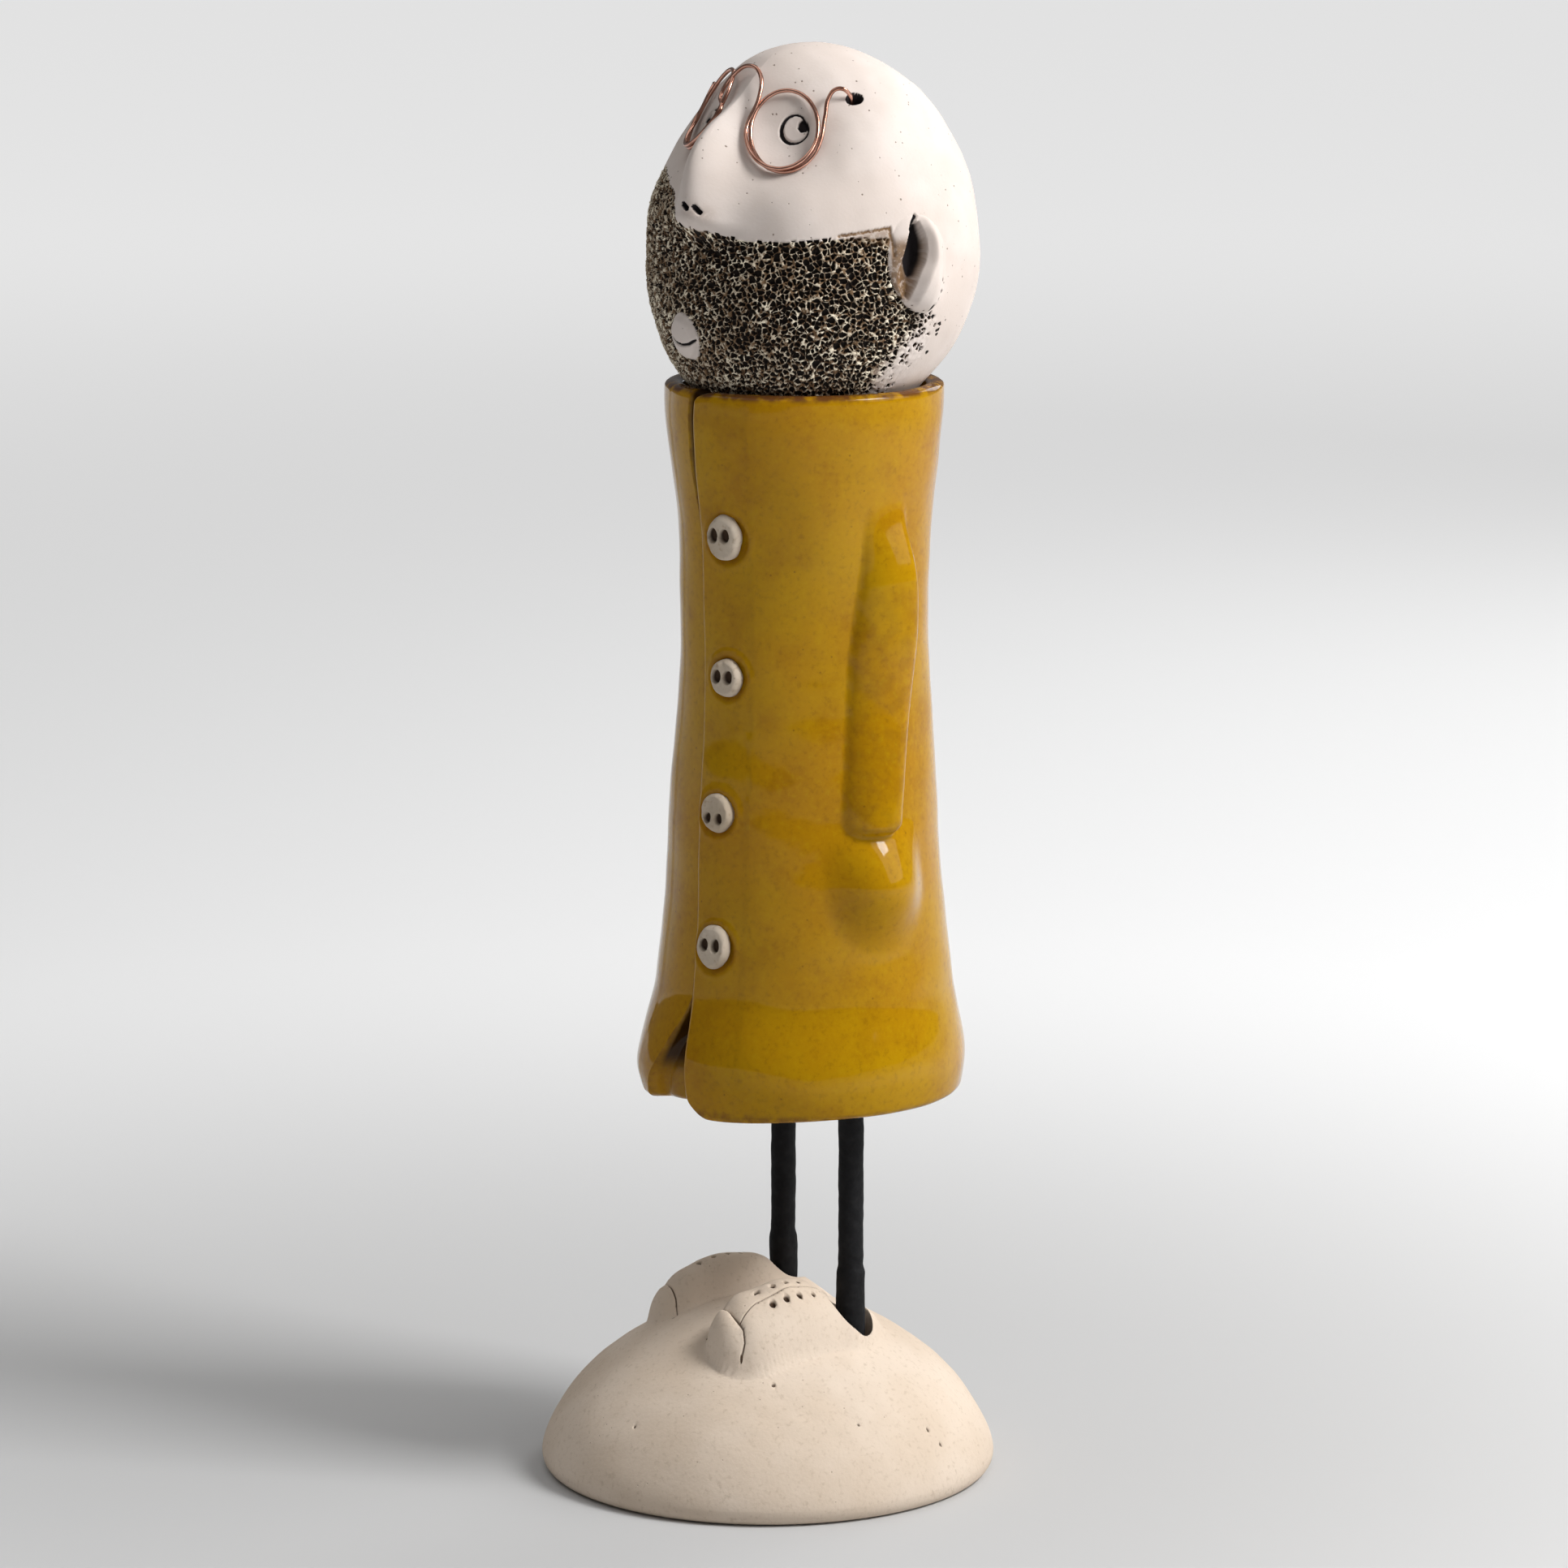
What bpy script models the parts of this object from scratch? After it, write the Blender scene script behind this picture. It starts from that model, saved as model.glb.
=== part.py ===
"""Fired clay figurine: a bearded man in a long glazed coat, standing on a domed foot.

The figure faces -Y, its left side is +X and the floor is z = 0.
Headings are in degrees about the figure's axis, 0 at the front (-Y) and 90 at +X.
"""

import math

import bmesh
import bpy
import numpy as np
from mathutils import Matrix, Vector

MM = 0.001
CLEARANCE = 0.3 * MM

# The axis of coat and head stands a little behind the middle of the foot
AXIS_X = 4.0 * MM
AXIS_Y = 8.0 * MM

# Foot: a hollow dome on a flat rim
DOME_RADIUS = 54.5 * MM
DOME_RIM_RADIUS = 52.5 * MM
DOME_HEIGHT = 41.0 * MM
DOME_BULGE_HEIGHT = 3.5 * MM
DOME_WALL = 6.5 * MM
CAVITY_HEIGHT = 26.5 * MM

# Shoes, modelled in relief on the dome
SHOE_TURN = -14.8
SHOE_SOLE_HEIGHT = 28.0 * MM
SHOE_HEEL = 9.0 * MM
SHOE_LENGTH = 45.5 * MM
SHOE_WIDTH = 19.2 * MM
SHOE_INSTEP_HEIGHT = 20.5 * MM
SHOE_SQUARENESS = 2.7
ANKLE_LENGTH = 10.5 * MM
ANKLE_WIDTH = 8.8 * MM
ANKLE_DEPTH = 7.0 * MM

# Legs: two straight rods, set in the foot and in the plate inside the coat
LEG_DIAMETER = 6.2 * MM
LEG_SPACING = 37.5 * MM
LEG_MIDDLE_X = 4.5 * MM
LEG_MIDDLE_Y = 11.6 * MM
LEG_SEAT_HEIGHT = 30.5 * MM
LEG_SOCKET_DEPTH = 5.0 * MM

# Coat: one slab of clay rolled into a tube. Its left edge lies over its right part at the
# front, and the groove between them opens at the collar and at the hem
HEM_HEIGHT = 92.6 * MM
HEM_RADIUS = 38.1 * MM
HEM_CURL = 9.0 * MM
HEM_TURN_IN = 1.1 * MM
THIGH_HEIGHT = 119.5 * MM
THIGH_RADIUS = 35.1 * MM
HIP_HEIGHT = 160.0 * MM
HIP_RADIUS = 31.9 * MM
WAIST_HEIGHT = 206.0 * MM
WAIST_RADIUS = 29.2 * MM
CHEST_HEIGHT = 228.0 * MM
CHEST_RADIUS = 29.9 * MM
COLLAR_HEIGHT = 262.6 * MM
COLLAR_RADIUS = 33.0 * MM
COLLAR_LIP = 5.0 * MM
COLLAR_LIP_SWELL = 0.1 * MM
COLLAR_FLARE = 15.0 * MM
COLLAR_FLARE_WIDTH = 0.8 * MM
COAT_WALL = 4.3 * MM
COAT_CORNER = 4.5 * MM
LAP_THICKNESS = 3.0 * MM
LAP_SPREAD = 20.0
GROOVE_WIDTH = 0.5 * MM
GROOVE_DEPTH = 1.4 * MM
PANEL_STEP = 1.4 * MM
PANEL_STEP_SPREAD = 26.0
COLLAR_SLIT = 1.5 * MM
COLLAR_SLIT_DEPTH = 34.0 * MM
HEM_SLIT = 15.0 * MM
HEM_SLIT_DEPTH = 2.6 * MM
HEM_FLARE = 4.6 * MM
HEM_FLARE_SPREAD = 46.0
PLATE_HEIGHT = 129.5 * MM
PLATE_THICKNESS = 8.0 * MM

# Sleeves and pockets, in relief on the coat
SLEEVE_WIDTH = 15.5 * MM
SLEEVE_RELIEF = 5.2 * MM
SHOULDER_DROP = 17.0 * MM
CUFF_HEIGHT = 159.0 * MM
SLEEVE_HEADING = 89.0
CUFF_HEADING = 79.0
POCKET_HEADING = 82.0
POCKET_HEIGHT = 150.0 * MM
POCKET_WIDTH = 29.0 * MM
POCKET_DEPTH = 29.0 * MM
POCKET_RELIEF = 4.8 * MM
RELIEF_ROOT = 0.8 * MM

# Buttons, pressed into shallow seats beside the seam
BUTTON_HEADING = 12.0
BUTTON_HEIGHTS = (228.5 * MM, 195.5 * MM, 163.4 * MM, 131.2 * MM)
BUTTON_DIAMETERS = (10.8 * MM, 9.2 * MM, 8.8 * MM, 9.8 * MM)
BUTTON_THICKNESS = 2.2 * MM
BUTTON_ROUNDING = 0.9 * MM
BUTTON_DRAFT = 0.1 * MM
BUTTON_SEAT_DEPTH = 0.6 * MM
BUTTON_HOLE_DIAMETER = 2.6 * MM
BUTTON_HOLE_SPACING = 3.5 * MM
BUTTON_HOLE_RISE = 0.9 * MM

# Head: a hollow egg that sits in the collar
HEAD_RADIUS = 38.9 * MM
HEAD_RISE = 51.3 * MM
HEAD_DROP = 40.0 * MM
HEAD_WALL = 5.5 * MM
HEAD_CROWN_POWER = 2.15
NAPE_BULGE = 3.2 * MM
NECK_RADIUS = 14.0 * MM
FACE_HEADING = 6.0
NOSE_RELIEF = 6.6 * MM
NOSE_WIDTH = 3.4 * MM
NOSE_TOP_RISE = 62.0
NOSE_TIP_RISE = 17.0
SOCKET_DEPTH = 6.5 * MM
SOCKET_SPREAD = 13.5 * MM
CHEEK_RELIEF = 1.6 * MM
CHEEK_SPREAD = 12.0 * MM
CHEEK_HEADING = 34.0
CHEEK_RISE = 22.0
MOUTH_HEADING = -1.0
MOUTH_RISE = -23.0
MOUTH_WIDTH = 7.0 * MM
MOUTH_LENGTH = 10.5 * MM
MOUTH_RELIEF = 1.6 * MM
EAR_HEADING = 82.0
EAR_RISE = 4.0
EAR_LENGTH = 23.0 * MM
EAR_WIDTH = 13.0 * MM
EAR_RELIEF = 4.6 * MM
EAR_HOLLOW = 3.2 * MM
TEMPLE_HEADING = 69.0
TEMPLE_RISE = 57.0
TEMPLE_TILT = 12.0
TEMPLE_HOLE_DIAMETER = 2.4 * MM

# Spectacles: one bent wire that ends in the temples
WIRE_DIAMETER = 1.0 * MM
LENS_HEADING = 30.0
LENS_RISE = 52.8
LENS_TILT = 3.0
LENS_WIDTH = 16.4 * MM
LENS_HEIGHT = 20.5 * MM
LENS_STANDOFF = 0.7 * MM
BRIDGE_STANDOFF = 1.5 * MM
BRIDGE_RISE = 68.5
TEMPLE_STANDOFF = 1.5 * MM
WIRE_SPREAD = 1.3 * MM

COLOURS = {
    "base": ((0.62, 0.53, 0.44, 1.0), 0.85, 0.0),
    "leg": ((0.012, 0.012, 0.012, 1.0), 0.5, 0.3),
    "coat": ((0.30, 0.15, 0.008, 1.0), 0.15, 0.0),
    "button": ((0.72, 0.69, 0.66, 1.0), 0.85, 0.0),
    "head": ((0.78, 0.70, 0.65, 1.0), 0.8, 0.0),
    "spectacles": ((0.50, 0.22, 0.10, 1.0), 0.35, 1.0),
}


# Helpers

def clear_scene():
    for item in list(bpy.data.objects):
        bpy.data.objects.remove(item, do_unlink=True)


def new_collection(name):
    collection = bpy.data.collections.new(name)
    bpy.context.scene.collection.children.link(collection)
    return collection


def make_material(name):
    colour, roughness, metallic = COLOURS[name]
    material = bpy.data.materials.new(name)
    material.use_nodes = True
    shader = material.node_tree.nodes["Principled BSDF"]
    shader.inputs["Base Color"].default_value = colour
    shader.inputs["Roughness"].default_value = roughness
    shader.inputs["Metallic"].default_value = metallic
    return material


def add_object(name, mesh, collection, material=None):
    item = bpy.data.objects.new(name, mesh)
    collection.objects.link(item)
    if material is not None:
        mesh.materials.append(material)
    mesh.shade_smooth()
    mesh.set_sharp_from_angle(angle=math.radians(40))
    return item


def mesh_from_bmesh(name, work):
    bmesh.ops.recalc_face_normals(work, faces=work.faces)
    mesh = bpy.data.meshes.new(name)
    work.to_mesh(mesh)
    work.free()
    return mesh


def add_cutter(name, mesh, cutters):
    item = add_object(name, mesh, cutters)
    item.hide_render = True
    item.display_type = "WIRE"
    return item


def combine(target, tool, operation):
    modifier = target.modifiers.new(tool.name, "BOOLEAN")
    modifier.operation = operation
    modifier.solver = "EXACT"
    modifier.object = tool


def loft(name, rings):
    """Closed body through rings of equal length, each end closed round its middle point."""
    work = bmesh.new()
    rows = [[work.verts.new(point) for point in ring] for ring in rings]
    count = len(rings[0])
    for lower, upper in zip(rows, rows[1:]):
        for i in range(count):
            j = (i + 1) % count
            work.faces.new((lower[i], lower[j], upper[j], upper[i]))
    for row in (rows[0], rows[-1]):
        middle = work.verts.new(sum((vert.co for vert in row), Vector()) / count)
        for i in range(count):
            work.faces.new((row[i], row[(i + 1) % count], middle))
    return mesh_from_bmesh(name, work)


def cylinder(name, radius, depth, segments=24):
    """Cylinder that stands on its own origin and rises along its z axis."""
    work = bmesh.new()
    bmesh.ops.create_cone(work, cap_ends=True, segments=segments,
                          radius1=radius, radius2=radius, depth=depth)
    bmesh.ops.translate(work, verts=work.verts, vec=(0.0, 0.0, depth / 2))
    return mesh_from_bmesh(name, work)


def ellipsoid(name, half_sizes, segments, rings):
    work = bmesh.new()
    bmesh.ops.create_uvsphere(work, u_segments=segments, v_segments=rings, radius=1.0)
    bmesh.ops.scale(work, verts=work.verts, vec=half_sizes)
    return mesh_from_bmesh(name, work)


def ease(value):
    """Smooth step from 0 to 1."""
    value = min(max(value, 0.0), 1.0)
    return value * value * (3.0 - 2.0 * value)


def hump(distance, width):
    """Bell curve, 1 in the middle."""
    return math.exp(-(distance / width) ** 2)


def smooth_through(points, x):
    """Smooth curve through (x, y) points in rising order of x."""
    xs = [point[0] for point in points]
    ys = [point[1] for point in points]
    x = min(max(x, xs[0]), xs[-1])
    k = min(max(np.searchsorted(xs, x) - 1, 0), len(xs) - 2)
    slopes = np.gradient(ys, xs)
    span = xs[k + 1] - xs[k]
    t = (x - xs[k]) / span
    start = (2 * t ** 3 - 3 * t ** 2 + 1) * ys[k] + (t ** 3 - 2 * t ** 2 + t) * span * slopes[k]
    end = (3 * t ** 2 - 2 * t ** 3) * ys[k + 1] + (t ** 3 - t ** 2) * span * slopes[k + 1]
    return float(start + end)


def direction(heading):
    angle = math.radians(heading)
    return Vector((math.sin(angle), -math.cos(angle), 0.0))


def turn_from(start, heading):
    """Degrees from one heading to another, the short way round."""
    return math.remainder(heading - start, 360.0)


def on_axis(heading, radius, height):
    """Point at a heading and radius from the figure's axis."""
    return Vector((AXIS_X, AXIS_Y, height)) + direction(heading) * radius


def frame_at(origin, outward, up=Vector((0.0, 0.0, 1.0))):
    """Matrix whose z axis points outward and whose y axis points as far up as it can."""
    z_axis = outward.normalized()
    x_axis = up.cross(z_axis).normalized()
    y_axis = z_axis.cross(x_axis)
    matrix = Matrix((x_axis, y_axis, z_axis)).transposed().to_4x4()
    matrix.translation = origin
    return matrix


# Foot and shoes

def dome_outline():
    """Half section of the dome: down the outside, under the rim and up the cavity."""
    bulge = DOME_BULGE_HEIGHT
    rise = DOME_HEIGHT - bulge
    outside = []
    for step in range(10):
        across = math.sin(math.radians(step * 10))
        up = (1.0 - across ** 1.9) ** 0.67
        outside.append((DOME_RADIUS * across, bulge + rise * up))
    rim_edge = (2 * DOME_RADIUS + DOME_RIM_RADIUS) / 3
    outside += [(rim_edge, bulge * 0.3), (DOME_RIM_RADIUS, 0.0)]
    inside = [(DOME_RIM_RADIUS - DOME_WALL, 0.0)]
    for step in range(1, 6):
        angle = math.radians(step * 18)
        across = (DOME_RIM_RADIUS - DOME_WALL) * math.cos(angle)
        inside.append((across, CAVITY_HEIGHT * math.sin(angle)))
    inside[-1] = (0.0, CAVITY_HEIGHT)
    return outside + inside


def make_dome(parts, material):
    outline = dome_outline()
    mesh = bpy.data.meshes.new("base")
    points = [(x, 0.0, z) for x, z in outline]
    edges = [(i, i + 1) for i in range(len(points) - 1)]
    mesh.from_pydata(points, edges, [])
    base = add_object("base", mesh, parts, material)
    screw = base.modifiers.new("turn", "SCREW")
    screw.steps = 44
    screw.render_steps = 44
    screw.use_merge_vertices = True
    screw.merge_threshold = 0.00001
    return base


def shoe_rings():
    """Cross sections of the left shoe from heel to toe, in its own frame: the toe points
    along +Y, the ankle is at the origin and z is measured from the floor."""
    toe = SHOE_LENGTH - SHOE_HEEL
    half = SHOE_WIDTH / 2
    stations = (
        (-SHOE_HEEL, 0.42 * half, 0.42),
        (-0.86 * SHOE_HEEL, 0.72 * half, 0.58),
        (-0.4 * SHOE_HEEL, 0.89 * half, 0.66),
        (0.10 * toe, 0.92 * half, 0.74),
        (0.28 * toe, 0.93 * half, 0.96),
        (0.46 * toe, 0.96 * half, 1.00),
        (0.66 * toe, half, 0.86),
        (0.84 * toe, 0.97 * half, 0.74),
        (0.95 * toe, 0.76 * half, 0.54),
        (toe, 0.42 * half, 0.30),
    )
    power = 2.0 / SHOE_SQUARENESS
    rings = []
    for along, width, share in stations:
        height = share * SHOE_INSTEP_HEIGHT
        ring = []
        for step in range(13):
            angle = math.pi * step / 12
            across = math.copysign(abs(math.cos(angle)) ** power, math.cos(angle)) * width
            up = math.sin(angle) ** power * height
            ring.append(Vector((across, along, SHOE_SOLE_HEIGHT + up)))
        ring.append(Vector((0.0, along, SHOE_SOLE_HEIGHT - CLEARANCE)))
        rings.append(ring)
    return rings


def leg_place(side):
    """Foot of a leg: side is 1 for the left leg and -1 for the right one."""
    turn = math.radians(SHOE_TURN)
    across = Vector((math.cos(turn), math.sin(turn), 0.0))
    return Vector((LEG_MIDDLE_X, LEG_MIDDLE_Y, 0.0)) + across * side * LEG_SPACING / 2


def make_base(parts, cutters, material):
    base = make_dome(parts, material)
    turn = Matrix.Rotation(math.radians(180.0 + SHOE_TURN), 4, "Z")
    socket_radius = LEG_DIAMETER / 2 + CLEARANCE
    rings = shoe_rings()
    ankle_top = SHOE_SOLE_HEIGHT + SHOE_INSTEP_HEIGHT
    for side, word in ((1, "left"), (-1, "right")):
        place = Matrix.Translation(leg_place(side)) @ turn
        shoe = add_cutter("shoe_" + word, loft("shoe_" + word, rings), cutters)
        shoe.matrix_world = place
        combine(base, shoe, "UNION")
    for side, word in ((1, "left"), (-1, "right")):
        place = Matrix.Translation(leg_place(side)) @ turn
        opening_mesh = cylinder("ankle_" + word, 1.0, ankle_top, 20)
        opening = add_cutter("ankle_" + word, opening_mesh, cutters)
        floor = SHOE_SOLE_HEIGHT + 0.72 * SHOE_INSTEP_HEIGHT - ANKLE_DEPTH
        size = Matrix.Diagonal((ANKLE_WIDTH / 2, ANKLE_LENGTH / 2, 1.0, 1.0))
        opening_mesh.transform(size)
        opening.matrix_world = place @ Matrix.Translation((0.0, 0.0, floor))
        combine(base, opening, "DIFFERENCE")
        socket = add_cutter("socket_" + word, cylinder("socket_" + word, socket_radius,
                                                       ankle_top, 16), cutters)
        socket.matrix_world = place @ Matrix.Translation((0.0, 0.0, LEG_SEAT_HEIGHT))
        combine(base, socket, "DIFFERENCE")
    return base


def make_legs(parts, material):
    bottom = LEG_SEAT_HEIGHT + CLEARANCE
    top = PLATE_HEIGHT + LEG_SOCKET_DEPTH - CLEARANCE
    for side, word in ((1, "left"), (-1, "right")):
        mesh = cylinder("leg_" + word, LEG_DIAMETER / 2, top - bottom, 16)
        leg = add_object("leg_" + word, mesh, parts, material)
        leg.location = leg_place(side) + Vector((0.0, 0.0, bottom))


# Coat

def coat_radius(height):
    """Outer radius of the rolled slab, before its front edges step and flare."""
    outline = (
        (HEM_HEIGHT, HEM_RADIUS - HEM_TURN_IN),
        (HEM_HEIGHT + HEM_CURL * 0.7, HEM_RADIUS),
        (THIGH_HEIGHT, THIGH_RADIUS),
        (HIP_HEIGHT, HIP_RADIUS),
        (WAIST_HEIGHT, WAIST_RADIUS),
        (CHEST_HEIGHT, CHEST_RADIUS),
        (COLLAR_HEIGHT - COLLAR_FLARE, COLLAR_RADIUS - COLLAR_FLARE_WIDTH),
        (COLLAR_HEIGHT - COLLAR_LIP, COLLAR_RADIUS + COLLAR_LIP_SWELL),
        (COLLAR_HEIGHT, COLLAR_RADIUS),
    )
    return smooth_through(outline, height)


def seam_heading(height):
    """Heading of the left-hand panel's free edge."""
    sway = ((HEM_HEIGHT, 2.0), (HIP_HEIGHT, 0.0), (CHEST_HEIGHT, -4.0), (COLLAR_HEIGHT, 0.0))
    return smooth_through(sway, height)


def below_thigh(height):
    """0 above the hem's slit and 1 at the hem."""
    return min(max((THIGH_HEIGHT - height) / (THIGH_HEIGHT - HEM_HEIGHT), 0.0), 1.3)


def collar_share(height):
    """0 below the collar's slit and 1 at the rim."""
    return ease((height - COLLAR_HEIGHT + COLLAR_SLIT_DEPTH) / COLLAR_SLIT_DEPTH)


def groove_width(height):
    """Width of the groove between the two panels at the front."""
    return GROOVE_WIDTH + COLLAR_SLIT * collar_share(height) + HEM_SLIT * below_thigh(height) ** 2


def groove_depth(height):
    open_share = max(collar_share(height), min(3.0 * below_thigh(height), 1.0))
    return GROOVE_DEPTH + HEM_SLIT_DEPTH * open_share


def coat_surface(turned, height, inward=0.0):
    """Point on the coat's panels: turned is the angle from the left panel's edge, round
    the back to the right panel's crease, and inward is the depth below the face."""
    radius = coat_radius(height)
    to_crease = 360.0 - math.degrees(groove_width(height) / radius) - turned
    edges = hump(turned, PANEL_STEP_SPREAD) - hump(to_crease, PANEL_STEP_SPREAD)
    step = PANEL_STEP / 2 * edges
    curl = 1.0 - 0.45 * ease((HEM_HEIGHT + HEM_CURL - height) / HEM_CURL)
    flare = HEM_FLARE * below_thigh(height) ** 1.3 * hump(to_crease, HEM_FLARE_SPREAD) * curl
    radius += step + flare
    return on_axis(seam_heading(height) + turned, radius - inward, height)


def coat_inside(turned, height):
    """Point on the coat's inner face, which is thicker where the panels lap."""
    away = min(turned, 360.0 - turned)
    lap = LAP_THICKNESS * hump(away, LAP_SPREAD) * (1.0 - collar_share(height))
    radius = coat_radius(height) - COAT_WALL - lap
    return on_axis(seam_heading(height) + turned, radius, height)


def corner_lift(arc):
    """How far a rounded corner is lifted, by its distance from the free edge."""
    if arc >= COAT_CORNER:
        return 0.0
    return COAT_CORNER - math.sqrt(COAT_CORNER ** 2 - (COAT_CORNER - arc) ** 2)


def coat_ring(share):
    """Outer and inner points of the coat at a share of its height."""
    level = HEM_HEIGHT + (COLLAR_HEIGHT - HEM_HEIGHT) * share
    radius = coat_radius(level)
    opening = math.degrees(groove_width(level) / radius)
    panel = 360.0 - opening
    columns = [0.0, 1.2, 3.6, 7.5]
    columns += list(np.linspace(15.0, panel - 15.0, 30))
    columns += [panel - 7.5, panel - 3.0, panel]
    outer = []
    inner = []
    for turned in columns:
        lift = corner_lift(math.radians(turned) * radius)
        low = HEM_HEIGHT + lift
        height = low + (COLLAR_HEIGHT - 0.5 * lift - low) * share
        outer.append(coat_surface(turned, height))
        inner.append(coat_inside(turned, height))
    for across, deep in ((0.12, 0.8), (0.5, 1.0), (0.9, 1.0)):
        turned = panel + opening * across
        outer.append(coat_surface(panel, level, groove_depth(level) * deep))
        outer[-1] = turned_about_axis(outer[-1], opening * across)
        inner.append(coat_inside(turned, level))
    return outer, inner


def turned_about_axis(point, angle):
    spin = Matrix.Rotation(math.radians(angle), 4, "Z")
    axis = Vector((AXIS_X, AXIS_Y, 0.0))
    return spin @ (point - axis) + axis


def coat_heights():
    """Shares of the coat's height for its rows, closer together at hem and collar."""
    shares = np.linspace(0.0, 1.0, 16)
    return [float(t - 0.115 * math.sin(2 * math.pi * t)) for t in shares]


def coat_shell():
    """The rolled slab: grooved outer face and smooth inner face, joined at hem and rim."""
    work = bmesh.new()
    layers = ([], [])
    for share in coat_heights():
        for layer, ring in zip(layers, coat_ring(share)):
            layer.append([work.verts.new(point) for point in ring])
    outside, inside = layers
    count = len(outside[0])
    bands = list(zip(outside, outside[1:])) + list(zip(inside, inside[1:]))
    bands += [(outside[0], inside[0]), (outside[-1], inside[-1])]
    for first, second in bands:
        for i in range(count):
            j = (i + 1) % count
            work.faces.new((first[i], first[j], second[j], second[i]))
    return mesh_from_bmesh("coat", work)


def relief_ring(heading, height, half_width, relief, depth):
    """Cross section of a form that lies on the coat: rounded outside, sunk in its wall."""
    radius = coat_radius(height)
    ring = []
    for step in range(9):
        angle = math.pi * step / 8
        turn = math.degrees(half_width * math.cos(angle) / radius)
        out = relief * math.sin(angle) ** 0.8
        ring.append(on_axis(heading - turn, radius - RELIEF_ROOT + out, height))
    for turn in (1.0, 0.0, -1.0):
        side = math.degrees(half_width * turn / radius)
        ring.append(on_axis(heading + side * 0.8, radius - depth, height))
    return ring


def sleeve_mesh(side):
    """Sleeve from the shoulder, where it fades into the coat, down to the cuff."""
    top = COLLAR_HEIGHT - SHOULDER_DROP
    drop = top - CUFF_HEIGHT
    stations = ((0.0, 0.35, 0.04), (0.06, 0.66, 0.30), (0.16, 0.84, 0.70), (0.32, 0.96, 0.95),
                (0.52, 1.0, 1.0), (0.72, 0.96, 1.0), (0.88, 0.88, 1.0), (0.96, 0.80, 0.94),
                (0.99, 0.62, 0.78), (1.0, 0.40, 0.50))
    rings = []
    for share, width, relief in stations:
        heading = SLEEVE_HEADING + (CUFF_HEADING - SLEEVE_HEADING) * ease((share - 0.35) / 0.6)
        half = SLEEVE_WIDTH / 2 * width
        rings.append(relief_ring(side * heading, top - drop * share, half,
                                 SLEEVE_RELIEF * relief, COAT_WALL / 2))
    return loft("sleeve", rings)


def pocket_mesh(side):
    """Soft bulge over the hidden hand."""
    rings = []
    for share in (-1.0, -0.9, -0.65, -0.3, 0.1, 0.45, 0.75, 0.93, 1.0):
        size = math.sqrt(max(1.0 - share * share, 0.02))
        rings.append(relief_ring(side * POCKET_HEADING, POCKET_HEIGHT + POCKET_DEPTH / 2 * share,
                                 POCKET_WIDTH / 2 * size, POCKET_RELIEF * size ** 2,
                                 COAT_WALL / 2))
    return loft("pocket", rings)


def button_frame(height):
    """Frame on the coat's face at a button: z out of the coat, y up."""
    turned = BUTTON_HEADING - seam_heading(height)
    here = coat_surface(turned, height)
    above = coat_surface(turned, height + 1.0 * MM)
    beside = coat_surface(turned + 2.0, height)
    outward = (beside - here).cross(above - here)
    return frame_at(here, outward)


def make_coat(parts, cutters, material):
    coat = add_object("coat", coat_shell(), parts, material)
    for side, word in ((1, "left"), (-1, "right")):
        for name, mesh in (("pocket_", pocket_mesh(side)), ("sleeve_", sleeve_mesh(side))):
            combine(coat, add_cutter(name + word, mesh, cutters), "UNION")
    plate_radius = coat_radius(PLATE_HEIGHT + PLATE_THICKNESS / 2) - COAT_WALL / 2
    plate = add_cutter("plate", cylinder("plate", plate_radius, PLATE_THICKNESS, 40), cutters)
    plate.location = (AXIS_X, AXIS_Y, PLATE_HEIGHT)
    combine(coat, plate, "UNION")
    for side, word in ((1, "left"), (-1, "right")):
        mesh = cylinder("leg_socket_" + word, LEG_DIAMETER / 2 + CLEARANCE,
                        2 * LEG_SOCKET_DEPTH, 16)
        socket = add_cutter("leg_socket_" + word, mesh, cutters)
        socket.location = leg_place(side) + Vector((0.0, 0.0, PLATE_HEIGHT - LEG_SOCKET_DEPTH))
        combine(coat, socket, "DIFFERENCE")
    for number, height in enumerate(BUTTON_HEIGHTS):
        name = "button_seat_%d" % (number + 1)
        radius = BUTTON_DIAMETERS[number] / 2 + CLEARANCE
        seat = add_cutter(name, cylinder(name, radius, BUTTON_THICKNESS * 2, 20), cutters)
        seat.matrix_world = button_frame(height) @ Matrix.Translation((0, 0, -BUTTON_SEAT_DEPTH))
        combine(coat, seat, "DIFFERENCE")
    return coat


# Buttons

def button_outline(radius):
    """Half section of a button, from the middle of its face down to its flat back."""
    thick = BUTTON_THICKNESS
    return ((0.0, thick), (radius - BUTTON_ROUNDING, thick * 0.92),
            (radius - BUTTON_DRAFT, thick * 0.6), (radius, 0.0), (0.0, 0.0))


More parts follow.
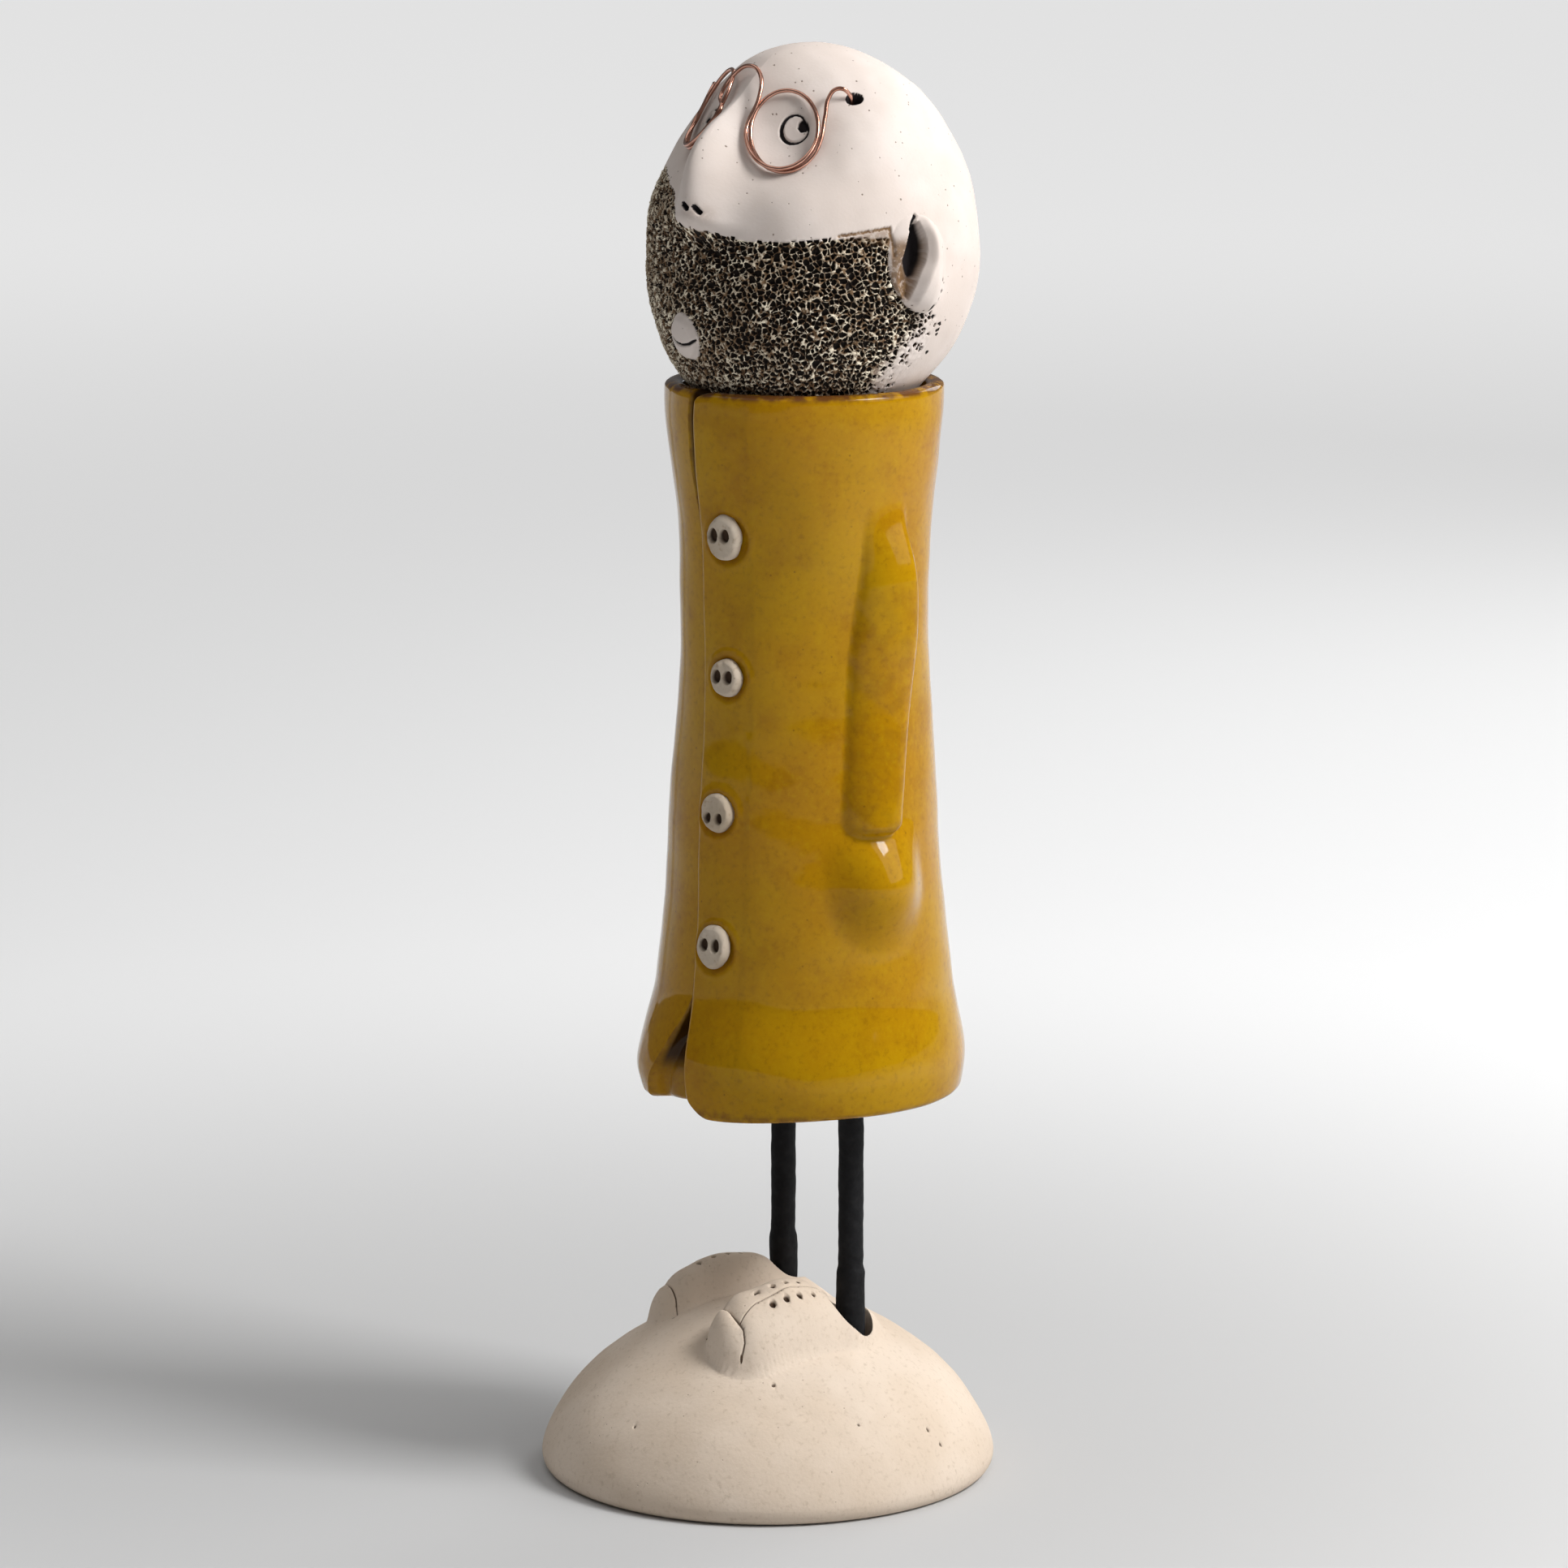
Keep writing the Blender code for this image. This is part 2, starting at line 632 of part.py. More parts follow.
def make_button(number, parts, cutters, material):
    name = "button_%d" % (number + 1)
    outline = button_outline(BUTTON_DIAMETERS[number] / 2)
    mesh = bpy.data.meshes.new(name)
    points = [(x, 0.0, z) for x, z in outline]
    mesh.from_pydata(points, [(i, i + 1) for i in range(len(points) - 1)], [])
    button = add_object(name, mesh, parts, material)
    screw = button.modifiers.new("turn", "SCREW")
    screw.steps = 18
    screw.render_steps = 18
    screw.use_merge_vertices = True
    screw.merge_threshold = 0.00001
    back = Matrix.Translation((0.0, 0.0, CLEARANCE - BUTTON_SEAT_DEPTH))
    frame = button_frame(BUTTON_HEIGHTS[number]) @ back
    button.matrix_world = frame
    for side in (-1, 1):
        hole_name = "%s_hole_%s" % (name, "right" if side < 0 else "left")
        mesh = cylinder(hole_name, BUTTON_HOLE_DIAMETER / 2, BUTTON_THICKNESS * 3, 10)
        hole = add_cutter(hole_name, mesh, cutters)
        place = (side * BUTTON_HOLE_SPACING / 2, BUTTON_HOLE_RISE, -BUTTON_THICKNESS)
        hole.matrix_world = frame @ Matrix.Translation(place)
        combine(button, hole, "DIFFERENCE")
    return button


# Head

def head_centre():
    """Middle of the egg: its underside rests on the inner edge of the collar."""
    seat = (COLLAR_RADIUS - COAT_WALL - CLEARANCE) / HEAD_RADIUS
    height = COLLAR_HEIGHT + HEAD_DROP * math.sqrt(1.0 - min(seat, 0.98) ** 2)
    return Vector((AXIS_X, AXIS_Y, height))


def egg_radius(heading, rise):
    """Distance from the head's centre to the bare egg along a heading and a rise."""
    across = math.cos(math.radians(rise)) / HEAD_RADIUS
    if rise >= 0:
        up = math.sin(math.radians(rise)) / HEAD_RISE
        power = HEAD_CROWN_POWER
    else:
        up = -math.sin(math.radians(rise)) / HEAD_DROP
        power = 2.0
    return (across ** power + up ** power) ** (-1.0 / power)


def face_relief(heading, rise):
    """Height of the face's forms over the egg, by heading and rise from the head's centre."""
    off = turn_from(FACE_HEADING, heading)
    flat = math.cos(math.radians(rise)) * HEAD_RADIUS * math.radians(1.0)
    up = HEAD_RADIUS * math.radians(1.0)
    along = (NOSE_TOP_RISE - rise) / (NOSE_TOP_RISE - NOSE_TIP_RISE)
    nose = 0.0
    if -0.2 < along < 1.25:
        width = NOSE_WIDTH * (0.8 + 0.9 * max(along, 0.0))
        tip = ease((1.18 - along) / 0.2)
        nose = NOSE_RELIEF * ease(along / 0.9 + 0.2) * tip * hump(off * flat, width)
    side = abs(off)
    eye = math.hypot((side - LENS_HEADING) * flat, (rise - LENS_RISE + 2.0) * up)
    socket = -SOCKET_DEPTH * hump(eye, SOCKET_SPREAD)
    cheek_away = math.hypot((side - CHEEK_HEADING) * flat, (rise - CHEEK_RISE) * up * 1.2)
    cheek = CHEEK_RELIEF * hump(cheek_away, CHEEK_SPREAD)
    lips = math.hypot(turn_from(MOUTH_HEADING, heading) * flat / (MOUTH_WIDTH / 2),
                      (rise - MOUTH_RISE) * up / (MOUTH_LENGTH / 2))
    mouth = MOUTH_RELIEF * ease((1.25 - lips) / 0.6)
    return nose + socket + cheek + mouth


def head_point(heading, rise, lift=0.0):
    """Point over the head's surface, at a heading and a rise seen from its centre."""
    radius = egg_radius(heading, rise) + face_relief(heading, rise) + lift
    level = math.radians(rise)
    offset = direction(heading) * math.cos(level) + Vector((0.0, 0.0, math.sin(level)))
    point = head_centre() + offset * radius
    share = (point.z - COLLAR_HEIGHT) / (head_centre().z + HEAD_RISE - COLLAR_HEIGHT)
    bulge = NAPE_BULGE * math.sin(math.pi * min(max(share, 0.0), 1.0))
    return point - direction(FACE_HEADING) * bulge


def head_mesh():
    """Sphere whose columns crowd towards the face, drawn out to the head's surface."""
    work = bmesh.new()
    bmesh.ops.create_uvsphere(work, u_segments=46, v_segments=28, radius=1.0)
    for vert in work.verts:
        around = math.degrees(math.atan2(vert.co.x, -vert.co.y))
        crowded = around - 20.0 * math.sin(math.radians(around))
        rise = math.degrees(math.asin(min(max(vert.co.z, -1.0), 1.0)))
        vert.co = head_point(FACE_HEADING + crowded, rise)
    return mesh_from_bmesh("head", work)


def cavity_mesh():
    """The hollow inside the head, one wall in from the bare egg."""
    inner = HEAD_RADIUS - HEAD_WALL
    work = bmesh.new()
    bmesh.ops.create_uvsphere(work, u_segments=24, v_segments=14, radius=1.0)
    for vert in work.verts:
        height = HEAD_RISE if vert.co.z > 0 else HEAD_DROP
        vert.co = Vector((vert.co.x * inner, vert.co.y * inner, vert.co.z * (height - HEAD_WALL)))
    return mesh_from_bmesh("head_cavity", work)


def ear_frame(side):
    """Frame in the middle of an ear: z out of the head, y up."""
    heading = FACE_HEADING + side * EAR_HEADING
    here = head_point(heading, EAR_RISE)
    return frame_at(here, direction(heading))


def temple_frame(side):
    """Frame at the mouth of a temple hole: z out of the head."""
    heading = FACE_HEADING + side * TEMPLE_HEADING
    here = head_point(heading, TEMPLE_RISE)
    level = math.radians(TEMPLE_RISE - TEMPLE_TILT)
    outward = direction(heading) * math.cos(level) + Vector((0.0, 0.0, math.sin(level)))
    return frame_at(here, outward)


def make_head(parts, cutters, material):
    head = add_object("head", head_mesh(), parts, material)
    for side, word in ((1, "left"), (-1, "right")):
        half_sizes = (EAR_WIDTH / 2, EAR_LENGTH / 2, EAR_RELIEF)
        ear = add_cutter("ear_" + word, ellipsoid("ear_" + word, half_sizes, 18, 10), cutters)
        ear.matrix_world = ear_frame(side)
        combine(head, ear, "UNION")
    cavity = add_cutter("head_cavity", cavity_mesh(), cutters)
    backward = direction(FACE_HEADING) * NAPE_BULGE * -0.8
    cavity.location = head_centre() + backward
    combine(head, cavity, "DIFFERENCE")
    neck = add_cutter("neck", cylinder("neck", NECK_RADIUS, HEAD_DROP, 24), cutters)
    neck.location = head_centre() - Vector((0.0, 0.0, HEAD_DROP * 1.5))
    combine(head, neck, "DIFFERENCE")
    for side, word in ((1, "left"), (-1, "right")):
        slot_sizes = (EAR_HOLLOW / 2, EAR_LENGTH * 0.29, EAR_RELIEF)
        slot = add_cutter("ear_slot_" + word, ellipsoid("ear_slot_" + word, slot_sizes, 12, 8),
                          cutters)
        forward = Matrix.Translation((-side * EAR_WIDTH * 0.2, EAR_LENGTH * 0.08, EAR_RELIEF * 0.8))
        slot.matrix_world = ear_frame(side) @ forward
        combine(head, slot, "DIFFERENCE")
        hole = add_cutter("temple_hole_" + word, cylinder("temple_hole_" + word,
                          TEMPLE_HOLE_DIAMETER / 2, 3 * HEAD_WALL, 10), cutters)
        hole.matrix_world = temple_frame(side) @ Matrix.Translation((0, 0, -2 * HEAD_WALL))
        combine(head, hole, "DIFFERENCE")
    return head


# Spectacles

def lens_rim(side, across, up):
    """Point on the face at the rim of a lens: across is 1 at the ear's side, up 1 at the top."""
    middle = LENS_RISE - side * LENS_TILT
    reach = egg_radius(0.0, middle)
    turn = math.degrees(LENS_WIDTH / 2 * across / reach) / math.cos(math.radians(middle))
    rise = middle + math.degrees(LENS_HEIGHT / 2 * up / reach)
    return head_point(FACE_HEADING + side * (LENS_HEADING + turn), rise)


def lens_point(side, angle, lift):
    """Point on a flat lens ring laid on the face: angle 0 is towards the ear, 90 at the top."""
    ear_side = lens_rim(side, 1, 0)
    nose_side = lens_rim(side, -1, 0)
    top = lens_rim(side, 0, 1)
    bottom = lens_rim(side, 0, -1)
    middle = (ear_side + nose_side + top + bottom) / 4
    across = (ear_side - nose_side).normalized() * LENS_WIDTH / 2
    up = (top - bottom).normalized() * LENS_HEIGHT / 2
    outward = across.cross(up).normalized() * side
    turn = math.radians(angle)
    return middle + across * math.cos(turn) + up * math.sin(turn) + outward * lift


def wire_half(side):
    """Half of the wire: out of the temple, one and a half turns round the lens, then up
    beside the nose to the bridge."""
    temple = temple_frame(side)
    lift = WIRE_DIAMETER / 2 + CLEARANCE
    points = [temple @ Vector((0.0, 0.0, depth * HEAD_WALL)) for depth in (-0.9, -0.4, 0.1)]
    for back, up in ((6.0, 3.0), (12.0, 2.0), (15.5, -2.0)):
        heading = FACE_HEADING + side * (TEMPLE_HEADING - back)
        points.append(head_point(heading, TEMPLE_RISE + up, lift + TEMPLE_STANDOFF))
    for angle in range(-20, -541, -40):
        spread = WIRE_SPREAD * (1.0 if angle < -180 else 0.0)
        points.append(lens_point(side, angle, lift + LENS_STANDOFF + spread))
    for off, rise in ((15.5, 59.5), (10.5, 66.5)):
        points.append(head_point(FACE_HEADING + side * off, rise, lift + BRIDGE_STANDOFF))
    return points


def wire_route():
    """The wire's points from the left temple to the right one."""
    lift = WIRE_DIAMETER / 2 + CLEARANCE + BRIDGE_STANDOFF
    bridge = head_point(FACE_HEADING, BRIDGE_RISE, lift)
    return wire_half(1) + [bridge] + wire_half(-1)[::-1]


def smooth_route(points, steps):
    """Points read from a smooth curve through the route, closer than the route's own."""
    result = []
    last = len(points) - 1
    for i in range(last):
        before = points[max(i - 1, 0)]
        after = points[min(i + 2, last)]
        here = points[i]
        there = points[i + 1]
        for step in range(steps):
            t = step / steps
            start_slope = (there - before) / 2
            end_slope = (after - here) / 2
            leaving = (2 * t ** 3 - 3 * t ** 2 + 1) * here + (t ** 3 - 2 * t ** 2 + t) * start_slope
            arriving = (3 * t ** 2 - 2 * t ** 3) * there + (t ** 3 - t ** 2) * end_slope
            result.append(leaving + arriving)
    return result + [points[last]]


def make_spectacles(parts, material):
    route = smooth_route(wire_route(), 2)
    curve = bpy.data.curves.new("spectacles", "CURVE")
    curve.dimensions = "3D"
    curve.bevel_depth = WIRE_DIAMETER / 2
    curve.bevel_resolution = 1
    curve.use_fill_caps = True
    spline = curve.splines.new("POLY")
    spline.points.add(len(route) - 1)
    for point, place in zip(spline.points, route):
        point.co = (*place, 1.0)
    curve.materials.append(material)
    spectacles = bpy.data.objects.new("spectacles", curve)
    parts.objects.link(spectacles)
    return spectacles


def main():
    clear_scene()
    parts = new_collection("clay_figurine")
    cutters = new_collection("cutters")
    materials = {name: make_material(name) for name in COLOURS}
    make_base(parts, cutters, materials["base"])
    make_legs(parts, materials["leg"])
    make_coat(parts, cutters, materials["coat"])
    for number in range(len(BUTTON_HEIGHTS)):
        make_button(number, parts, cutters, materials["button"])
    make_head(parts, cutters, materials["head"])
    make_spectacles(parts, materials["spectacles"])


main()
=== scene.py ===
"""Looks of the clay figurine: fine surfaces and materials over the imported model."""

import math

import bmesh
import bpy
import numpy as np
from mathutils import Matrix, Vector


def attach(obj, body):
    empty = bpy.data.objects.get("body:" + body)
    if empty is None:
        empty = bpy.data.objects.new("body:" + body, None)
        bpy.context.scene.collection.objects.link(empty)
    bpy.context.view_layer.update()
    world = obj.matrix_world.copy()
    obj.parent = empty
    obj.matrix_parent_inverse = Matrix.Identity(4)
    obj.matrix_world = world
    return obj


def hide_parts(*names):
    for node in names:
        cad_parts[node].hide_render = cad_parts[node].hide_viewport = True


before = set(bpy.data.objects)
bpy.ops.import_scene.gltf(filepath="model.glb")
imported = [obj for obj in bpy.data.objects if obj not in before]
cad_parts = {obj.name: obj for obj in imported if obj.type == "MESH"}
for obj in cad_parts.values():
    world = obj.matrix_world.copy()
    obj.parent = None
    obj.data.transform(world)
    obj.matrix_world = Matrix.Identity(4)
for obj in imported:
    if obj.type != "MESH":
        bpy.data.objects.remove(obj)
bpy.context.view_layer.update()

MM = 0.001
AXIS_X = 4.0 * MM
AXIS_Y = 8.0 * MM


def link(name, data):
    item = bpy.data.objects.new(name, data)
    bpy.context.scene.collection.objects.link(item)
    return item


def look_at(item, place, aim):
    item.location = place
    item.rotation_euler = (Vector(aim) - Vector(place)).to_track_quat("-Z", "Y").to_euler()


# Camera: long lens, from the figure's front left, a little above

CAMERA_HEADING = 50.0
CAMERA_AWAY = 1.480
CAMERA_HEIGHT = 0.450
CAMERA_AIM = (0.0, 0.0, 0.170)
LENS = 145.96
FRAME_SIDE = 1932.0
FRAME_SHIFT = (20.0, -18.8)


def make_camera():
    turn = math.radians(CAMERA_HEADING)
    outward = Vector((math.sin(turn), -math.cos(turn), 0.0))
    data = bpy.data.cameras.new("camera")
    data.sensor_width = 36.0
    data.lens = LENS
    data.shift_x, data.shift_y = (shift / FRAME_SIDE for shift in FRAME_SHIFT)
    camera = link("camera", data)
    look_at(camera, outward * CAMERA_AWAY + Vector((0.0, 0.0, CAMERA_HEIGHT)), CAMERA_AIM)
    bpy.context.scene.camera = camera


# Small helpers

def ease(value):
    value = np.clip(value, 0.0, 1.0)
    return value * value * (3.0 - 2.0 * value)


def hump(distance, width):
    return np.exp(-(distance / width) ** 2)


def spline(points, x):
    """Smooth curve through (x, y) points in rising order of x, read at many places."""
    xs = np.array([point[0] for point in points], float)
    ys = np.array([point[1] for point in points], float)
    x = np.clip(x, xs[0], xs[-1])
    k = np.clip(np.searchsorted(xs, x) - 1, 0, len(xs) - 2)
    slopes = np.gradient(ys, xs)
    span = xs[k + 1] - xs[k]
    t = (x - xs[k]) / span
    start = (2 * t ** 3 - 3 * t ** 2 + 1) * ys[k] + (t ** 3 - 2 * t ** 2 + t) * span * slopes[k]
    end = (3 * t ** 2 - 2 * t ** 3) * ys[k + 1] + (t ** 3 - t ** 2) * span * slopes[k + 1]
    return start + end


def waves(points, size, seed, count=9):
    """Slow, smooth unevenness between about -1 and 1, the same each time."""
    random = np.random.RandomState(seed)
    total = np.zeros(points.shape[:-1])
    for _ in range(count):
        way = random.normal(size=3)
        way /= np.linalg.norm(way)
        length = size * random.uniform(0.7, 1.6)
        total += np.sin(points @ way * (2 * math.pi / length) + random.uniform(0, 2 * math.pi))
    return total / math.sqrt(count)


def direction(heading):
    angle = np.radians(heading)
    return np.stack((np.sin(angle), -np.cos(angle), np.zeros_like(angle)), axis=-1)


def turn_from(heading, at):
    """Degrees from one heading to another, between -180 and 180."""
    return (heading - at + 180.0) % 360.0 - 180.0


def polar(heading, radius, height):
    """Points at a heading and radius from the figure's axis."""
    points = direction(heading) * np.asarray(radius)[..., None]
    points[..., 0] += AXIS_X
    points[..., 1] += AXIS_Y
    points[..., 2] = height
    return points


def smooth_max(a, b, blend):
    mix = np.clip(0.5 + 0.5 * (a - b) / blend, 0.0, 1.0)
    return b * (1.0 - mix) + a * mix + blend * mix * (1.0 - mix)


def path_distance(x, y, path):
    """Distance from flat places to an open path of points."""
    best = np.full(x.shape, 1e9)
    for (ax, ay), (bx, by) in zip(path, path[1:]):
        wide, tall = bx - ax, by - ay
        share = ((x - ax) * wide + (y - ay) * tall) / max(wide ** 2 + tall ** 2, 1e-12)
        share = np.clip(share, 0.0, 1.0)
        best = np.minimum(best, np.hypot(x - ax - share * wide, y - ay - share * tall))
    return best


def outline_distance(x, y, outline):
    """Distance from flat places to a closed outline, negative inside."""
    closed = [*outline, outline[0]]
    inside = np.zeros(x.shape, bool)
    for (ax, ay), (bx, by) in zip(closed, closed[1:]):
        if ay != by:
            crosses = (ay > y) != (by > y)
            inside ^= crosses & (x < (bx - ax) * (y - ay) / (by - ay) + ax)
    return path_distance(x, y, closed) * np.where(inside, -1.0, 1.0)


def grid_mesh(name, grid, attributes=None, wrap_columns=False, caps=False):
    """Mesh over a grid of points (rows, columns, 3), with attributes given as grids."""
    rows, columns = grid.shape[:2]
    index = np.arange(rows * columns).reshape(rows, columns)
    if wrap_columns:
        index = np.hstack((index, index[:, :1]))
    quads = np.stack((index[:-1, :-1], index[:-1, 1:], index[1:, 1:], index[1:, :-1]), axis=-1)
    faces = quads.reshape(-1, 4).tolist()
    if caps:
        faces += [index[0, :].tolist()[:columns][::-1], index[-1, :].tolist()[:columns]]
    mesh = bpy.data.meshes.new(name)
    mesh.from_pydata(grid.reshape(-1, 3).tolist(), [], faces)
    for key, values in (attributes or {}).items():
        kind, field = ("FLOAT_VECTOR", "vector") if values.ndim == 3 else ("FLOAT", "value")
        layer = mesh.attributes.new(key, kind, "POINT")
        layer.data.foreach_set(field, values.astype(np.float32).ravel())
    mesh.shade_smooth()
    return mesh


def add_piece(name, mesh, slot, material, *nodes):
    item = link(name, mesh)
    item.data.materials.append(material)
    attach(item, "root")
    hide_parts(*nodes)
    return item


# Shader and geometry nodes

class Nodes:
    """Short ways to lay out nodes in a shader or geometry tree."""

    def __init__(self, tree):
        self.tree = tree

    def node(self, kind, inputs=None, **settings):
        """Adds a node with settings, and inputs given by name or number."""
        made = self.tree.nodes.new(kind)
        for key, value in settings.items():
            setattr(made, key, value)
        for key, value in (inputs or {}).items():
            self.feed(made.inputs[key], value)
        return made

    def feed(self, socket, value):
        if isinstance(value, bpy.types.NodeSocket):
            self.tree.links.new(value, socket)
        else:
            socket.default_value = value

    def place(self):
        return self.node("ShaderNodeTexCoord").outputs["Object"]

    def attribute(self, name, output="Fac"):
        return self.node("ShaderNodeAttribute", attribute_name=name).outputs[output]

    def math(self, operation, a, b):
        return self.node("ShaderNodeMath", {0: a, 1: b}, operation=operation).outputs[0]

    def vector(self, operation, a, key, b):
        made = self.node("ShaderNodeVectorMath", {0: a, key: b}, operation=operation)
        return made.outputs[0]

    def remap(self, value, low, high, to_low=0.0, to_high=1.0):
        inputs = dict(enumerate((value, low, high, to_low, to_high)))
        return self.node("ShaderNodeMapRange", inputs, interpolation_type="SMOOTHSTEP").outputs[0]

    def mix(self, share, a, b):
        return self.node("ShaderNodeMix", {0: share, 6: a, 7: b}, data_type="RGBA").outputs[2]

    def times(self, a, b):
        return self.math("MULTIPLY", a, b)

    def wash(self, under, value, low, high, tint, most=1.0):
        """Lays a tint over a colour, the more the further a value has gone from low to high."""
        return self.mix(self.remap(value, low, high, 0.0, most), under, tint)

    def noise(self, place, scale, detail=2.0, roughness=0.5, output=0):
        inputs = {"Vector": place, "Scale": scale, "Detail": detail, "Roughness": roughness}
        return self.node("ShaderNodeTexNoise", inputs).outputs[output]

    def cells(self, place, scale):
        """Distance from the middle of the cell at a place, and the cell's own random numbers."""
        made = self.node("ShaderNodeTexVoronoi", {"Vector": place, "Scale": scale})
        luck = self.node("ShaderNodeSeparateXYZ", {0: made.outputs["Color"]})
        return made.outputs["Distance"], luck.outputs

    def specks(self, place, scale, outer, inner, rarity):
        """Dots that fade from the inner to the outer radius, in some of the cells."""
        away, luck = self.cells(place, scale)
        return self.times(self.remap(away, outer, inner),
                          self.math("GREATER_THAN", luck[0], rarity))

    def shift(self, place, scale, amount):
        """Place moved about by noise, so that cells lose their regular shape."""
        colour = self.noise(place, scale, 1.0, output="Color")
        centred = self.vector("SUBTRACT", colour, 1, (0.5, 0.5, 0.5))
        return self.vector("ADD", place, 1, self.vector("SCALE", centred, "Scale", amount))

    def surface(self, colour, roughness, specular=0.5, metallic=0.0):
        inputs = self.tree.nodes["Principled BSDF"].inputs
        self.feed(inputs["Base Color"], colour)
        inputs["Roughness"].default_value = roughness
        inputs["Specular IOR Level"].default_value = specular
        inputs["Metallic"].default_value = metallic
        return inputs

    def bump(self, height, distance, strength=1.0):
        made = self.node("ShaderNodeBump", {"Height": height, "Distance": distance,
                                            "Strength": strength})
        self.feed(self.tree.nodes["Principled BSDF"].inputs["Normal"], made.outputs[0])


def shader(name):
    material = bpy.data.materials.new(name)
    material.use_nodes = True
    return material, Nodes(material.node_tree)


PIT_SCALE = 730.0
PIT_DEPTH = 1.0 * MM


def pit_pattern(nodes, place, density):
    """Depth share of the beard's pits, from the place on the clay and how dense they are."""
    moved = nodes.shift(nodes.shift(place, 420.0, 0.9 * MM), 1300.0, 0.35 * MM)
    wall = nodes.node("ShaderNodeTexVoronoi", {"Vector": moved, "Scale": PIT_SCALE},
                      feature="DISTANCE_TO_EDGE")
    _, luck = nodes.cells(moved, PIT_SCALE)
    worn = nodes.noise(place, 620.0)
    thick = nodes.math("ADD", nodes.times(worn, 0.40), -0.16)
    sparse = nodes.math("SUBTRACT", 1.0, density)
    thick = nodes.math("ADD", thick, nodes.times(sparse, 0.10))
    hole = nodes.remap(wall.outputs["Distance"], thick, nodes.math("ADD", thick, 0.13))
    return nodes.times(hole, nodes.math("GREATER_THAN", density, luck[1]))


# Head

HEAD_RADIUS = 38.9 * MM
HEAD_RISE = 51.3 * MM
HEAD_DROP = 40.0 * MM
HEAD_HEIGHT = 290.15 * MM
COLLAR_HEIGHT = 262.6 * MM
FACE = 6.0


def egg_radius(rise):
    across = np.cos(np.radians(rise)) / HEAD_RADIUS
    up = np.where(rise >= 0, np.sin(np.radians(rise)) / HEAD_RISE,
                  -np.sin(np.radians(rise)) / HEAD_DROP)
    power = np.where(rise >= 0, 2.15, 2.0)
    return (np.maximum(across, 1e-9) ** power + np.maximum(up, 0.0) ** power) ** (-1.0 / power)


EAR_LIP = ((-11.0, -3.0), (-6.4, -2.6), (-4.4, -2.0), (-2.2, -1.3), (0.5, 0.0), (2.5, 0.4),
           (5.5, 0.4), (8.0, -0.3), (11.0, -0.4))
EAR_RIM = ((-11.0, -2.6), (-7.2, -5.2), (-3.0, -6.2), (0.8, -5.4), (3.2, -4.6), (8.0, -2.8),
           (11.0, -0.8))


def ear_form(u, v):
    """An ear's height over the head, the share of its dark hollow and of the stain before
    it: u runs back and v up, in mm."""
    around = np.hypot((u - 0.9 + 0.16 * v) / 8.8, (v + 0.3) / 11.2)
    body = np.clip(1.0 - around ** 2.2, 0.0, 1.0) ** 0.55
    soft = ease((9.6 - u) / 8.0)
    lip, rim = spline(EAR_LIP, v), spline(EAR_RIM, v)
    flap = 5.2 * body * soft * (0.5 + 0.5 * ease((u - lip + 0.5) / 2.4))
    edge = 2.1 * body ** 1.4
    inside = ease((u - rim) / 0.5) * ease((lip - u) / 0.35)
    inside = inside * ease((v + 8.2) / 1.2) * ease((9.4 - v) / 0.8)
    outer = np.where(u > 0.5 * (lip + rim), flap, edge)
    floor = -2.0 + 1.9 * ease((rim + 2.2 - u) / 2.4) + 1.6 * ease((-1.0 - v) / 6.0)
    smear = ease((lip + 0.2 - u) / 0.5) * ease((u + 7.9) / 0.7)
    smear = smear * ease((v + 9.0) / 2.0) * ease((7.0 - v) / 3.0)
    return outer * (1.0 - inside) + floor * inside, inside, smear, around


BEARD = ((-4.0, 19.0), (5.8, 14.6), (17.0, 13.6), (26.6, 12.2), (38.5, 12.2), (49.9, 12.6),
         (60.2, 13.6), (76.5, 13.2), (78.0, 5.9), (79.0, -2.1), (90.4, -10.2), (96.0, -16.0),
         (93.0, -26.0), (88.0, -36.0), (83.0, -70.0), (-75.0, -70.0), (-78.0, -20.0),
         (-66.0, -2.0), (-65.0, 22.0), (-55.0, 31.0), (-40.0, 33.0), (-25.0, 30.5), (-12.0, 26.0))
CORNER_LINE = ((58.0, 14.2), (68.0, 15.4), (76.2, 16.4), (76.8, 12.5), (77.4, 7.0))
CORNER_WASH = ((60.0, 13.4), (76.4, 16.2), (77.2, 9.5), (74.0, 10.5), (66.0, 12.6))
STRAY_PITS = (((99.0, -2.4), 0.5), ((99.3, -6.2), 0.45), ((92.5, -10.6), 0.85),
              ((96.0, -10.3), 0.5), ((97.6, -8.7), 0.4), ((96.0, -13.5), 0.45),
              ((98.0, -15.0), 0.5))
SMILE = ((-4.2, 2.0), (-2.7, 0.7), (-1.0, -0.4), (0.9, -0.9), (2.5, -0.8), (3.6, -0.3))
PUPIL = ((0.8, 0.4), (1.2, 1.8), (2.7, 2.9), (3.7, 1.6), (3.6, 0.2), (2.9, -0.9), (1.6, -0.8))
NOSE_TOP = 62.0
NOSE_TIP = 17.0


class Relief:
    """Relief of the head at a grid of places: metres over the egg, and the share of each look."""

    def __init__(self, heading, rise):
        self.heading, self.rise = heading, rise
        self.height, self.beard, self.dark, self.stain = np.zeros((4,) + heading.shape)

    def near(self, heading, rise, mirror=1):
        """Millimetres sideways and up from a point of the head."""
        reach = float(egg_radius(np.array(rise))) / MM
        off = np.radians(turn_from(self.heading, heading)) * mirror
        return off * reach * math.cos(math.radians(rise)), np.radians(self.rise - rise) * reach

    def lift(self, millimetres):
        self.height = self.height + millimetres * MM

    def darken(self, share):
        self.dark = np.maximum(self.dark, share)

    def smear(self, share):
        self.stain = np.maximum(self.stain, share)


